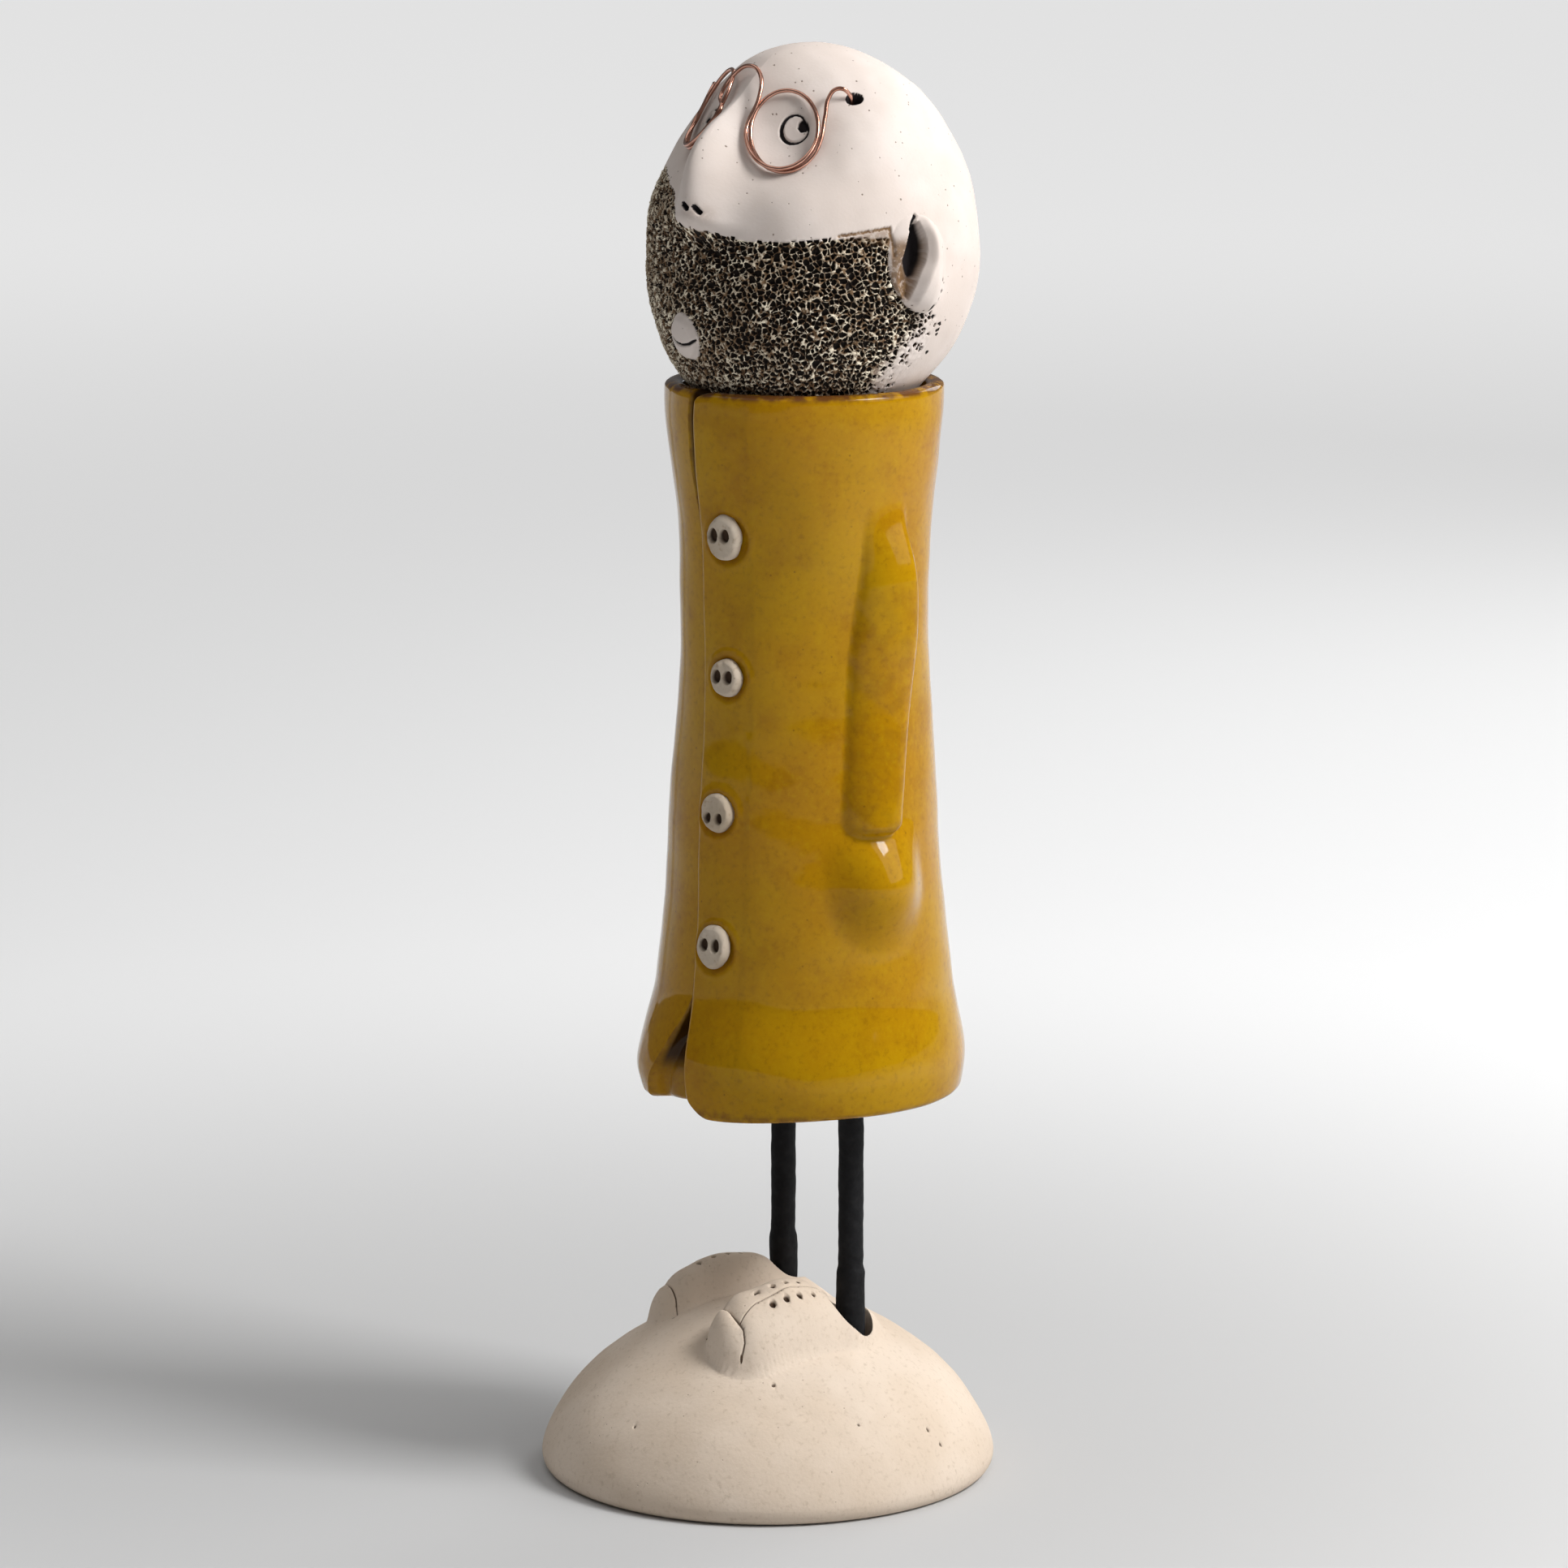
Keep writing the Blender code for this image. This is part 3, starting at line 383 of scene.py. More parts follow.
def shape_face(relief):
    """Nose, eye sockets and cheeks."""
    degree = HEAD_RADIUS * math.radians(1.0)
    flat = np.cos(np.radians(relief.rise)) * degree
    off = turn_from(relief.heading, FACE)
    along = (NOSE_TOP - relief.rise) / (NOSE_TOP - NOSE_TIP)
    width = 3.4 * MM * (0.8 + 0.9 * np.clip(along, 0.0, 2.0))
    lean = (off + 3.4 - 5.2 * ease(along * 0.8 + 0.1)) * flat
    ridge = 0.35 * hump(lean, 0.9 * width) + 0.65 * hump(lean, 1.35 * width)
    nose = 6.9 * ease(along / 0.9 + 0.2) * ease((1.18 - along) / 0.2) * ridge
    relief.lift(np.where((along > -0.2) & (along < 1.25), nose, 0.0))
    socket = np.hypot((np.abs(off) - 30.0) * flat, (relief.rise - 50.0) * degree)
    relief.lift(-6.5 * hump(socket, 13.5 * MM))
    cheek = np.hypot((np.abs(off) - 34.0) * flat, (relief.rise - 22.0) * degree * 1.2)
    relief.lift(1.6 * hump(cheek, 12.0 * MM))


def shape_mouth_and_beard(relief):
    """Mouth on its small boss, and the beard round it, which fades out below the ear."""
    u, v = relief.near(-3.2, -23.0)
    lips = np.hypot(u / 3.9, v / 5.3)
    boss = ease((1.16 - lips) / 0.34)
    cut = ease((0.5 - path_distance(u, v, SMILE)) / 0.3)
    relief.lift(1.1 * boss + 1.1 * np.maximum(1.0 - lips ** 2, 0.0) - 0.7 * cut)
    relief.darken(cut)
    edge = outline_distance(relief.heading * 0.9, relief.rise, [(a * 0.9, b) for a, b in BEARD])
    fade = ease((relief.heading - 60.0) / 16.0) * ease((-8.0 - relief.rise) / 14.0)
    relief.beard = np.clip(0.5 - edge / (1.0 + 22.0 * fade), 0.0, 1.0) * (boss <= 0.02)


def press_nostril(relief, heading, rise):
    u, v = relief.near(heading, rise)
    slit = path_distance(u, v, ((-0.5, 0.45), (0.5, -0.35)))
    relief.lift(-1.5 * ease((0.55 - slit) / 0.3))
    relief.darken(ease((0.66 - slit) / 0.2))
    relief.smear(0.35 * hump(np.hypot(u - 1.5, v + 0.6), 1.8))


def press_eye(relief, mirror):
    u, v = relief.near(FACE + mirror * 34.5, 53.6, mirror)
    around = np.hypot(u, v) / 1.1
    thick = 0.34 + 0.17 * np.cos(np.arctan2(v, u) - 2.9)
    ring = ease((thick + 0.16 - np.abs(around - 3.35)) / 0.28)
    hole = ease((0.25 - outline_distance(u, v, PUPIL)) / 0.4)
    relief.lift(0.25 * ease((3.4 - around) / 0.6) - 0.6 * ring - 1.1 * hole)
    relief.darken(np.maximum(ring, hole))


def press_temple_hole(relief, mirror):
    u, v = relief.near(FACE + mirror * 69.8, 59.4)
    reach = np.hypot(u / 2.05, v / 1.6)
    # Painted shade: the inside of the hole is coloured near-black.
    relief.lift(-3.6 * ease((1.05 - reach) / 0.3))
    relief.darken(ease((1.2 - reach) / 0.2))


def shape_ear(relief, mirror):
    u, v = relief.near(FACE + mirror * 81.5, 4.0, mirror)
    form, hollow, smear, reach = ear_form(u, v)
    near = reach < 1.0
    # Painted shade: the hollow is coloured near-black above its lower trough, which keeps the brown
    # stain.
    deep = hollow * ease((v + 5.0) / 3.0) * ease((u + 3.7 + 0.25 * v) / 1.3)
    crease = path_distance(u, v, ((-2.8, 7.6), (-2.0, 9.2), (-0.6, 10.8)))
    slit = ease((0.5 - crease) / 0.35)
    relief.lift(np.where(near, form, 0.0) - 0.9 * slit)
    relief.darken(np.maximum(np.where(near, deep, 0.0), slit))
    relief.smear(np.where(near, np.maximum(hollow * (1.0 - deep), 0.9 * smear), 0.0))
    relief.beard = np.where(near, 0.0, relief.beard)


def score_beard_corner(relief):
    """Scored line, brown wash and stray pits where the beard turns down along the ear."""
    rough = 0.25 * np.sin(relief.heading * 2.1) + 0.2 * np.sin(relief.heading * 5.3 + 1.0)
    line = path_distance((relief.heading + rough * 0.5) * 0.95, relief.rise + rough * 0.5,
                         [(a * 0.95, b) for a, b in CORNER_LINE])
    cut = ease((0.75 - line) / 0.5)
    relief.lift(-0.35 * cut)
    relief.smear(cut)
    wash = outline_distance(relief.heading, relief.rise, CORNER_WASH)
    relief.smear(0.6 * ease(0.5 - wash / 1.5))
    for place, size in STRAY_PITS:
        u, v = relief.near(*place)
        away = np.hypot(u, v) + 0.12 * np.sin(3.0 * np.arctan2(v, u) + place[0])
        relief.lift(-0.9 * ease((size + 0.15 - away) / 0.4))
        relief.darken(ease((size + 0.2 - away) / 0.3))


def head_relief(heading, rise):
    relief = Relief(heading, rise)
    shape_face(relief)
    shape_mouth_and_beard(relief)
    press_nostril(relief, 7.4, 20.0)
    press_nostril(relief, 11.2, 19.5)
    for mirror in (1, -1):
        press_eye(relief, mirror)
        press_temple_hole(relief, mirror)
        shape_ear(relief, mirror)
    score_beard_corner(relief)
    return relief


def head_points(heading, rise, height):
    radius = egg_radius(rise) + height
    level = np.radians(rise)
    points = direction(heading) * np.cos(level)[..., None]
    points[..., 2] = np.sin(level)
    points = points * radius[..., None] + np.array((AXIS_X, AXIS_Y, HEAD_HEIGHT))
    share = (points[..., 2] - COLLAR_HEIGHT) / (HEAD_HEIGHT + HEAD_RISE - COLLAR_HEIGHT)
    bulge = 3.2 * MM * np.sin(math.pi * np.clip(share, 0.0, 1.0))
    return points - direction(np.full(heading.shape, FACE)) * bulge[..., None]


def head_patch(name, headings, rises):
    rise, heading = np.meshgrid(rises, headings, indexing="ij")
    relief = head_relief(heading, rise)
    rest = head_points(heading, rise, np.zeros_like(rise))
    height = relief.height + (0.16 * waves(rest, 18 * MM, 3) + 0.045 * waves(rest, 5 * MM, 4)) * MM
    points = head_points(heading, rise, height)
    outward = head_points(heading, rise, height + 1.0) - points
    return grid_mesh(name, points, {"rest": rest, "outward": outward, "beard": relief.beard,
                                    "dark": relief.dark, "stain": relief.stain})


def evaluated_mesh(item):
    view = bpy.context.evaluated_depsgraph_get()
    return bpy.data.meshes.new_from_object(item.evaluated_get(view), depsgraph=view)


def press_pits(item, depth):
    """Presses the beard's pits into the mesh, towards the head's middle."""
    tree = bpy.data.node_groups.new("pits", "GeometryNodeTree")
    for way in ("INPUT", "OUTPUT"):
        tree.interface.new_socket("Geometry", in_out=way, socket_type="NodeSocketGeometry")
    nodes = Nodes(tree)

    def named(name, kind):
        return nodes.node("GeometryNodeInputNamedAttribute", {0: name}, data_type=kind).outputs[0]

    rest = named("rest", "FLOAT_VECTOR")
    beard = named("beard", "FLOAT")
    grain = nodes.math("SUBTRACT", nodes.noise(rest, 850.0, 3.0), 0.5)
    rough = nodes.times(nodes.times(grain, beard), 1.1 * MM)
    down = nodes.times(pit_pattern(nodes, rest, beard), -depth)
    offset = nodes.vector("SCALE", named("outward", "FLOAT_VECTOR"), "Scale",
                          nodes.math("ADD", down, rough))
    start = nodes.node("NodeGroupInput").outputs[0]
    moved = nodes.node("GeometryNodeSetPosition", {"Geometry": start, "Offset": offset})
    nodes.node("NodeGroupOutput", {0: moved.outputs[0]})
    item.modifiers.new("pits", "NODES").node_group = tree
    mesh = evaluated_mesh(item)
    item.modifiers.clear()
    item.data = mesh


def head_material():
    material, nodes = shader("head_clay")
    rest = nodes.attribute("rest", "Vector")
    beard, dark, stain = (nodes.attribute(name) for name in ("beard", "dark", "stain"))
    pit = pit_pattern(nodes, rest, beard)

    broad = nodes.noise(rest, 60.0, 3.0)
    skin = nodes.wash((0.66, 0.585, 0.54, 1), broad, 0.3, 0.7, (0.60, 0.52, 0.47, 1))
    fine = nodes.noise(rest, 900.0, 3.0)
    skin = nodes.wash(skin, fine, 0.55, 0.8, (0.60, 0.50, 0.44, 1), 0.35)
    away, luck = nodes.cells(rest, 520.0)
    size = nodes.times(luck[2], 0.11)
    speck = nodes.times(nodes.remap(away, nodes.math("ADD", size, 0.05), size),
                        nodes.math("GREATER_THAN", luck[0], 0.30))
    skin = nodes.mix(nodes.times(speck, 0.75), skin, (0.16, 0.11, 0.08, 1))

    mottle = nodes.noise(rest, 850.0, 3.0, 0.6)
    ridge = nodes.wash((0.14, 0.080, 0.040, 1), mottle, 0.42, 0.60, (0.90, 0.81, 0.64, 1))
    worn = nodes.noise(rest, 75.0)
    ridge = nodes.wash(ridge, worn, 0.42, 0.64, (0.22, 0.14, 0.075, 1), 0.5)
    colour = nodes.wash(skin, beard, 0.55, 0.95, ridge)
    colour = nodes.wash(colour, pit, 0.0, 0.22, (0.10, 0.055, 0.028, 1))
    colour = nodes.wash(colour, pit, 0.16, 0.5, (0.011, 0.007, 0.005, 1))
    brown = nodes.mix(nodes.noise(rest, 700.0), (0.075, 0.032, 0.015, 1), (0.28, 0.17, 0.08, 1))
    uneven = nodes.remap(mottle, 0.3, 0.5, 0.45, 1.0)
    colour = nodes.mix(nodes.times(stain, uneven), colour, brown)
    # Near-black where the head is marked dark: painted shade in the temple holes and the ears'
    # hollows, and the same dark in the cut lines, nostrils and pits.
    colour = nodes.wash(colour, dark, 0.25, 0.75, (0.012, 0.009, 0.010, 1))
    nodes.surface(colour, 0.82, specular=0.25)
    height = nodes.math("SUBTRACT", nodes.times(nodes.noise(rest, 1400.0, 3.0), 0.35),
                        nodes.math("ADD", nodes.times(speck, 1.2), pit))
    nodes.bump(height, 0.12 * MM, 0.8)
    return material


def make_head():
    material = head_material()
    right, middle, left = FACE - 90.0, FACE + 3.0, FACE + 95.0
    crown = np.linspace(67.5, 89.6, 20)
    beard_rises = np.linspace(-60.0, 36.0, 291)
    brow_rises = np.concatenate((np.linspace(36.0, 66.0, 92), crown))
    back_rises = np.concatenate((np.linspace(-60.0, 36.0, 120), np.linspace(37.0, 66.0, 40), crown))
    for name, first, last, steps, rises in (("head_beard_right", right, middle, 283, beard_rises),
                                            ("head_beard_left", middle, left, 283, beard_rises),
                                            ("head_brow", right, left, 300, brow_rises),
                                            ("head_back", left, right + 360.0, 130, back_rises)):
        patch = head_patch(name, np.linspace(first, last, steps), rises)
        item = add_piece(name, patch, "head_clay", material, "head")
        if rises is beard_rises:
            press_pits(item, PIT_DEPTH)


# Coat

HEM_HEIGHT = 92.6 * MM
THIGH_HEIGHT = 119.5 * MM
COAT_WALL = 4.3 * MM
SLAB_EDGE = 1.5 * MM
SLAB_CORNER = 6.6 * MM
LAP = 9.0 * MM
LAP_START = 359.5
COAT_PROFILE = ((92.6, 37.0), (98.9, 38.1), (119.5, 35.1), (160.0, 31.9), (206.0, 29.2),
                (228.0, 29.9), (247.6, 32.2), (257.6, 33.1), (262.6, 33.0))
SEAM = ((92.6, 2.0), (160.0, 0.0), (228.0, -4.0), (262.6, 0.0))
BUTTON_SEATS = ((12.6, 228.3 * MM, 5.4 * MM), (13.0, 195.6 * MM, 4.6 * MM),
                (10.9, 163.5 * MM, 4.4 * MM), (11.9, 131.6 * MM, 4.9 * MM))


def coat_radius(height):
    return spline(COAT_PROFILE, height / MM) * MM


def seam_heading(height):
    return spline(SEAM, height / MM)


def below_thigh(height):
    return np.clip((THIGH_HEIGHT - height) / (THIGH_HEIGHT - HEM_HEIGHT), 0.0, 1.3)


def collar_share(height):
    return ease((height - COLLAR_HEIGHT + 34.0 * MM) / (34.0 * MM))


def groove_width(height):
    collar = ease((height - 227.0 * MM) / (21.0 * MM))
    return (0.4 + 2.4 * collar + 15.0 * below_thigh(height) ** 1.12) * MM


def lap_step(turned, to_crease):
    """How far the slab stands out beside its free edge, and sinks beside the crease."""
    return 0.7 * MM * (hump(turned, 26.0) - hump(to_crease, 26.0))


SLEEVE_MIDDLE = ((159.0, 78.5), (164.0, 79.0), (176.0, 81.5), (190.0, 84.5), (201.0, 86.6),
                 (212.0, 88.6), (222.0, 89.3), (234.0, 88.0), (247.0, 86.5))
SLEEVE_HALF = ((159.0, 12.0), (164.0, 12.6), (176.0, 13.8), (190.0, 15.2), (201.0, 15.9),
               (212.0, 15.1), (222.0, 13.2), (234.0, 11.2), (247.0, 8.0))


def sleeve_form(heading, height):
    """Relief of a sleeve and its pocket in metres, and the share of brown: glaze at its edges,
    pooled glaze and painted shade under the cuff, painted shade and browner glaze over the upper
    face.
    """
    z = height / MM
    half = spline(SLEEVE_HALF, z)
    across = (heading - spline(SLEEVE_MIDDLE, z)) / half
    low = 158.6 + 2.2 * np.abs(across) ** 3
    rise = 6.0 * ease((240.0 - z) / 23.0) * (1.0 - 0.12 * ease((208.0 - z) / 20.0))
    rise = rise * np.sqrt(np.clip((z - low) / 2.2, 0.0, 1.0))
    away = np.where(across < 0.5, (0.5 - across) / 1.5, (across - 0.5) / 0.5)
    fall = np.where(across < 0.5, 1.4, 2.6)
    round_top = np.clip(1.0 - np.minimum(away, 1.0) ** fall, 0.0, 1.0) ** 0.7
    sleeve = rise * round_top
    u = (heading - 82.5) * math.radians(1.0) * 32.5
    v = z - 147.5
    over = 1.0 - np.clip(v / 14.0, 0.0, 1.0) ** 1.5
    round_by = np.hypot(u / 16.0, np.minimum(v, 0.0) / 19.0)
    pocket = 6.4 * over * (0.5 + 0.5 * np.cos(math.pi * np.minimum(round_by, 1.0)))
    both = smooth_max(sleeve, pocket, 0.5)
    edge = hump((np.abs(across) - 1.02) * half * 0.52, 0.45) * ease((rise - 0.8) / 2.0)
    edge = edge * np.where(across < 0.0, 0.35, 0.75)
    # Brown under the cuff: pooled glaze and painted shade.
    cuff = hump(z - low + 0.3, 0.55) * ease((1.1 - np.abs(across)) / 0.15)
    cuff = cuff * (0.25 + 0.75 * ease((np.abs(across) - 0.7) / 0.3))
    # Painted shade, with some browner glaze, over the upper face of the sleeve.
    face = 0.50 * ease((1.0 - np.abs(across)) / 0.12) * ease((z - low) / 1.5)
    face = face * ease((236.0 - z) / 30.0)
    return both * MM, np.maximum(np.maximum(edge, cuff), face)


def coat_relief(heading, height, radius, turned):
    """Relief of sleeves, pockets and button seats in metres, and the shares of brown on the sleeves
    (edge glaze, with painted shade under the cuffs and over the upper faces) and of the stain round
    the buttons."""
    relief, edge, seat = np.zeros((3,) + radius.shape)
    for mirror in (1, -1):
        faced = turn_from(heading * mirror, 0.0)
        beside = np.abs(faced - 85.0) < 60.0
        form, brown = sleeve_form(faced, height)
        relief = relief + np.where(beside, form, 0.0)
        edge = np.maximum(edge, np.where(beside, brown, 0.0))
    for at, up, size in BUTTON_SEATS:
        away = np.hypot(np.radians(turn_from(heading, at)) * radius, height - up)
        dimple = -0.75 * MM * ease((size + 0.9 * MM - away) / (1.1 * MM))
        lip = 0.30 * MM * hump(away - size - 1.0 * MM, 0.8 * MM)
        relief = relief + (dimple + lip) * (turned < 40.0)
        seat = np.maximum(seat, hump(np.maximum(away - size, 0.0), 1.2 * MM))
    return relief, edge, seat


def coat_section():
    """Ring of places round the slab's thickness: height, depth and how far they face out."""
    outer = np.linspace(0.0, 1.0, 186)
    outer = outer - 0.012 * np.sin(2 * math.pi * outer)
    inner = np.linspace(1.0, 0.0, 26)
    rim = np.linspace(0.0, math.pi, 11)[1:-1]
    half = COAT_WALL / 2
    round_top, round_low = half * 0.62, half * 0.75
    top, low = COLLAR_HEIGHT - round_top, HEM_HEIGHT + round_low
    height = np.concatenate((low + (top - low) * outer, top + round_top * np.sin(rim),
                             low + (top - low) * inner, low - round_low * np.sin(rim)))
    depth = np.concatenate((np.zeros(len(outer)), half - half * np.cos(rim),
                            np.full(len(inner), COAT_WALL), half + half * np.cos(rim)))
    face = np.concatenate((np.ones(len(outer)), ease(1.0 - rim / 1.6), np.zeros(len(inner)),
                           ease(1.0 - (math.pi - rim) / 1.6)))
    return height, depth, face


def make_coat():
    """The slab: rows are stations round the coat, first the shell, then the part lapped under."""
    shell = np.concatenate((np.linspace(0.0, 4.0, 12), np.linspace(4.0, 354.0, 262)[1:],
                            np.linspace(354.0, LAP_START, 12)[1:]))
    lap = np.linspace(0.0, 1.0, 22)[1:, None]
    count = len(shell)
    rows = count + len(lap)
    z, depth, face = (np.tile(part, (rows, 1)) for part in coat_section())
    radius = coat_radius(z)
    opening = np.degrees(groove_width(z) / radius)
    panel = 360.0 - opening
    share = shell[:, None] / LAP_START
    under = opening[count:] + np.degrees(LAP / radius[count:])
    closing = (panel[:count] - LAP_START) * ease((share - 0.6) / 0.4)
    turned = np.vstack((share * LAP_START + closing, panel[count:] + lap * under))

    # corners of the free edge, and its rounded thickness
    arc = np.radians(turned) * radius
    gap = np.clip(SLAB_CORNER - arc, 0.0, SLAB_CORNER)
    lift = SLAB_CORNER - np.sqrt(np.maximum(SLAB_CORNER ** 2 - gap ** 2, 0.0))
    level = (z - HEM_HEIGHT) / (COLLAR_HEIGHT - HEM_HEIGHT)
    z = z + lift * (1.0 - level) ** 3 - 0.35 * lift * ease(level * 8.0 - 7.0)
    droop = 1.9 * MM * (1.0 - np.clip(level, 0.0, 1.0)) ** 4
    z[:count] -= (droop * hump(turned - 8.0, 36.0))[:count]
    z[count:] += droop[count:] * ease(lap)
    near = np.clip(SLAB_EDGE - arc, 0.0, SLAB_EDGE)
    pinch = SLAB_EDGE - np.sqrt(np.maximum(SLAB_EDGE ** 2 - near ** 2, 0.0))
    thin = 1.0 - 2.0 * pinch / COAT_WALL * 0.98
    depth = COAT_WALL / 2 + (depth - COAT_WALL / 2) * thin

    # the lapped part dives under the free edge
    dive = np.zeros_like(z)
    low_z = z[count:]
    deepest = np.maximum(collar_share(low_z), below_thigh(low_z) * 3.0)
    fall = (0.4 + 3.9 * np.clip(deepest, 0.0, 1.0)) * MM
    sink = ease(lap * under * radius[count:] * math.radians(1.0) / (1.6 * MM))
    tuck = ease(lap * under / np.maximum(opening[count:] + 0.4, 0.5))
    dive[count:] = sink * fall + (COAT_WALL + 0.5 * MM - fall) * tuck
    drop = ease(lap * 2.0) * ease((low_z - COLLAR_HEIGHT + 12 * MM) / (12 * MM))
    z[count:] = low_z - 5.0 * MM * drop

    heading = seam_heading(z) + turned
    to_crease = panel - turned
    curl = 1.0 - 0.45 * ease((HEM_HEIGHT + 9.0 * MM - z) / (9.0 * MM))
    flare = 4.6 * MM * below_thigh(z) ** 1.3 * hump(to_crease, 46.0) * curl
    radius = coat_radius(z) + lap_step(turned, to_crease) + flare
    relief, edge, seat = coat_relief(heading, z, radius, turned)
    inwards = depth + dive - relief * face
    points = polar(heading, radius - inwards, z)
    slow = waves(points, 38 * MM, 11) * 0.28 * MM + waves(points, 15 * MM, 12) * 0.07 * MM
    radius = radius + slow
    points = polar(heading, radius - inwards, z)

    shell_row = (np.arange(rows) < count)[:, None]
    crease = np.radians(np.abs(to_crease)) * radius / MM
    # Brown glaze at the collar, hem, free edge and crease; from the sleeves, also painted shade
    # under the cuffs and over their upper faces.
    brown = np.max((hump(np.maximum((COLLAR_HEIGHT - z) / MM, 0.0), 1.5),
                    0.55 * hump(np.maximum((z - HEM_HEIGHT) / MM, 0.0), 1.7),
                    0.85 * hump(arc / MM, 0.8) * shell_row, 0.5 * hump(crease, 0.45),
                    0.65 * edge), axis=0)
    # Painted shade, with some pooled glaze, in the groove where the lapped part dives under the
    # free edge; less of it towards the hem, where light comes up into the gap.
    groove = np.where(shell_row, 0.0, ease(dive / (1.2 * MM)))
    deep = groove * (1.0 - 0.78 * ease((below_thigh(z) - 0.55) / 0.2))
    mesh = grid_mesh("coat_glazed", points, {"rest": points, "brown": brown, "deep": deep,
                                             "seat": seat}, wrap_columns=True, caps=True)
    work = bmesh.new()
    work.from_mesh(mesh)
    bmesh.ops.recalc_face_normals(work, faces=work.faces)
    work.to_mesh(mesh)
    work.free()
    add_piece("coat_glazed", mesh, "ochre_glaze", coat_material(), "coat")


def coat_material():
    material, nodes = shader("ochre_glaze")
    rest = nodes.attribute("rest", "Vector")
    brown, deep, seat = (nodes.attribute(name) for name in ("brown", "deep", "seat"))
    broad = nodes.noise(rest, 26.0, 3.0)
    blotch = nodes.noise(rest, 110.0, 4.0, 0.6)
    fine = nodes.noise(rest, 700.0, 4.0, 0.65)
    colour = nodes.wash((0.380, 0.180, 0.0015, 1), broad, 0.35, 0.65, (0.410, 0.220, 0.0014, 1))
    colour = nodes.wash(colour, blotch, 0.45, 0.75, (0.29, 0.125, 0.0015, 1), 0.5)
    colour = nodes.wash(colour, fine, 0.5, 0.72, (0.22, 0.105, 0.002, 1), 0.45)
    colour = nodes.wash(colour, fine, 0.48, 0.3, (0.44, 0.27, 0.004, 1), 0.35)
    speck = nodes.specks(rest, 230.0, 0.075, 0.035, 0.5)
    colour = nodes.mix(nodes.times(speck, 0.55), colour, (0.10, 0.045, 0.003, 1))
    patchy = nodes.remap(nodes.noise(rest, 260.0, 3.0), 0.3, 0.62, 0.35, 1.0)
    colour = nodes.mix(nodes.times(nodes.times(seat, 0.6), patchy), colour,
                       (0.27, 0.10, 0.008, 1))
    colour = nodes.wash(colour, nodes.times(brown, patchy), 0.15, 0.8, (0.115, 0.043, 0.010, 1))
    # Near-black in the groove: painted shade, with some pooled glaze.
    colour = nodes.mix(nodes.times(deep, 0.95), colour, (0.030, 0.011, 0.004, 1))
    nodes.surface(colour, 0.07, specular=0.16)
    height = nodes.math("ADD", nodes.noise(rest, 120.0),
                        nodes.times(nodes.noise(rest, 420.0), 0.12))
    nodes.bump(height, 0.10 * MM, 0.6)
    return material


# Foot and legs

def clay_material(name, light, shade, speckle):
    material, nodes = shader(name)
    rest = nodes.place()
    colour = nodes.wash(light, nodes.noise(rest, 45.0, 3.0), 0.3, 0.7, shade)
    colour = nodes.wash(colour, nodes.noise(rest, 800.0, 3.0, 0.6), 0.52, 0.8, speckle, 0.5)
    speck = nodes.specks(rest, 420.0, 0.10, 0.05, 0.80)
    colour = nodes.mix(nodes.times(speck, 0.5), colour, (0.24, 0.15, 0.09, 1))
    # Darker in the marks: the shoe lines and pits, with painted shade in the ankle holes and the
    # button holes.
    colour = nodes.wash(colour, nodes.attribute("mark"), 0.2, 0.7, (0.075, 0.045, 0.028, 1))
    nodes.surface(colour, 0.85, specular=0.25)
    height = nodes.math("SUBTRACT", nodes.noise(rest, 1100.0, 4.0), speck)
    nodes.bump(height, 0.10 * MM, 0.7)
    return material


FOOT_RADIUS = 54.5
RIM_HEIGHT = 3.5
FOOT_STEPS = 150
HEEL_END = -10.5
TOE_END = 36.8
SHOE_TURN = -14.8
LEG_HALF = 37.5 * MM / 2
LEG_MIDDLE = Vector((4.5 * MM, 11.6 * MM, 0.0))


def leg_place(side):
    turn = math.radians(SHOE_TURN)
    return LEG_MIDDLE + Vector((math.cos(turn), math.sin(turn), 0.0)) * side * LEG_HALF


def dome_height(x, y):
    across = np.minimum(np.hypot(x, y) / FOOT_RADIUS, 1.0)
    return RIM_HEIGHT + 37.5 * np.maximum(1.0 - across ** 1.9, 0.0) ** 0.67


def on_shoe(x, y, side):
    """Millimetres across (outwards) and along a shoe, from its ankle, of a place on the foot."""
    turn = math.radians(SHOE_TURN)
    ankle = leg_place(side) / MM
    x, y = x - ankle.x, y - ankle.y
    return (side * (x * math.cos(turn) + y * math.sin(turn)),
            x * math.sin(turn) - y * math.cos(turn))


# widths, crest and height of a shoe, by the distance along it
SHOE_INNER = ((-10.5, 0.80), (-9.0, 0.87), (-7.0, 0.90), (-3.6, 0.90), (3.65, 0.92),
              (10.2, 0.93), (16.8, 0.96), (24.1, 1.0), (30.7, 1.0), (34.7, 0.84), (37.0, 0.52))
SHOE_OUTER = ((-10.5, -2.6), (-9.0, -0.4), (-7.0, 1.8), (-4.5, 3.9), (0.0, 5.9), (5.8, 7.0),
              (12.0, 8.0), (19.0, 8.9), (27.0, 9.4), (31.0, 8.2), (33.4, 6.4), (35.4, 3.6),
              (37.0, -0.6))
SHOE_CREST = ((-10.5, -5.2), (-7.0, -3.4), (-3.0, -1.2), (1.0, -0.3), (6.0, -2.0), (10.0, -3.0),
              (22.0, -3.2), (28.0, -3.8), (31.0, -3.2), (34.7, -2.4), (37.0, -2.6))
SHOE_SHARE = ((-10.5, 0.32), (-9.0, 0.43), (-7.0, 0.53), (-3.6, 0.65), (3.65, 0.76),
              (10.2, 0.98), (16.8, 1.05), (24.1, 0.96), (29.5, 0.86), (31.2, 0.77),
              (33.2, 0.71), (34.8, 0.58), (35.8, 0.40), (36.4, 0.20), (36.8, -0.10))


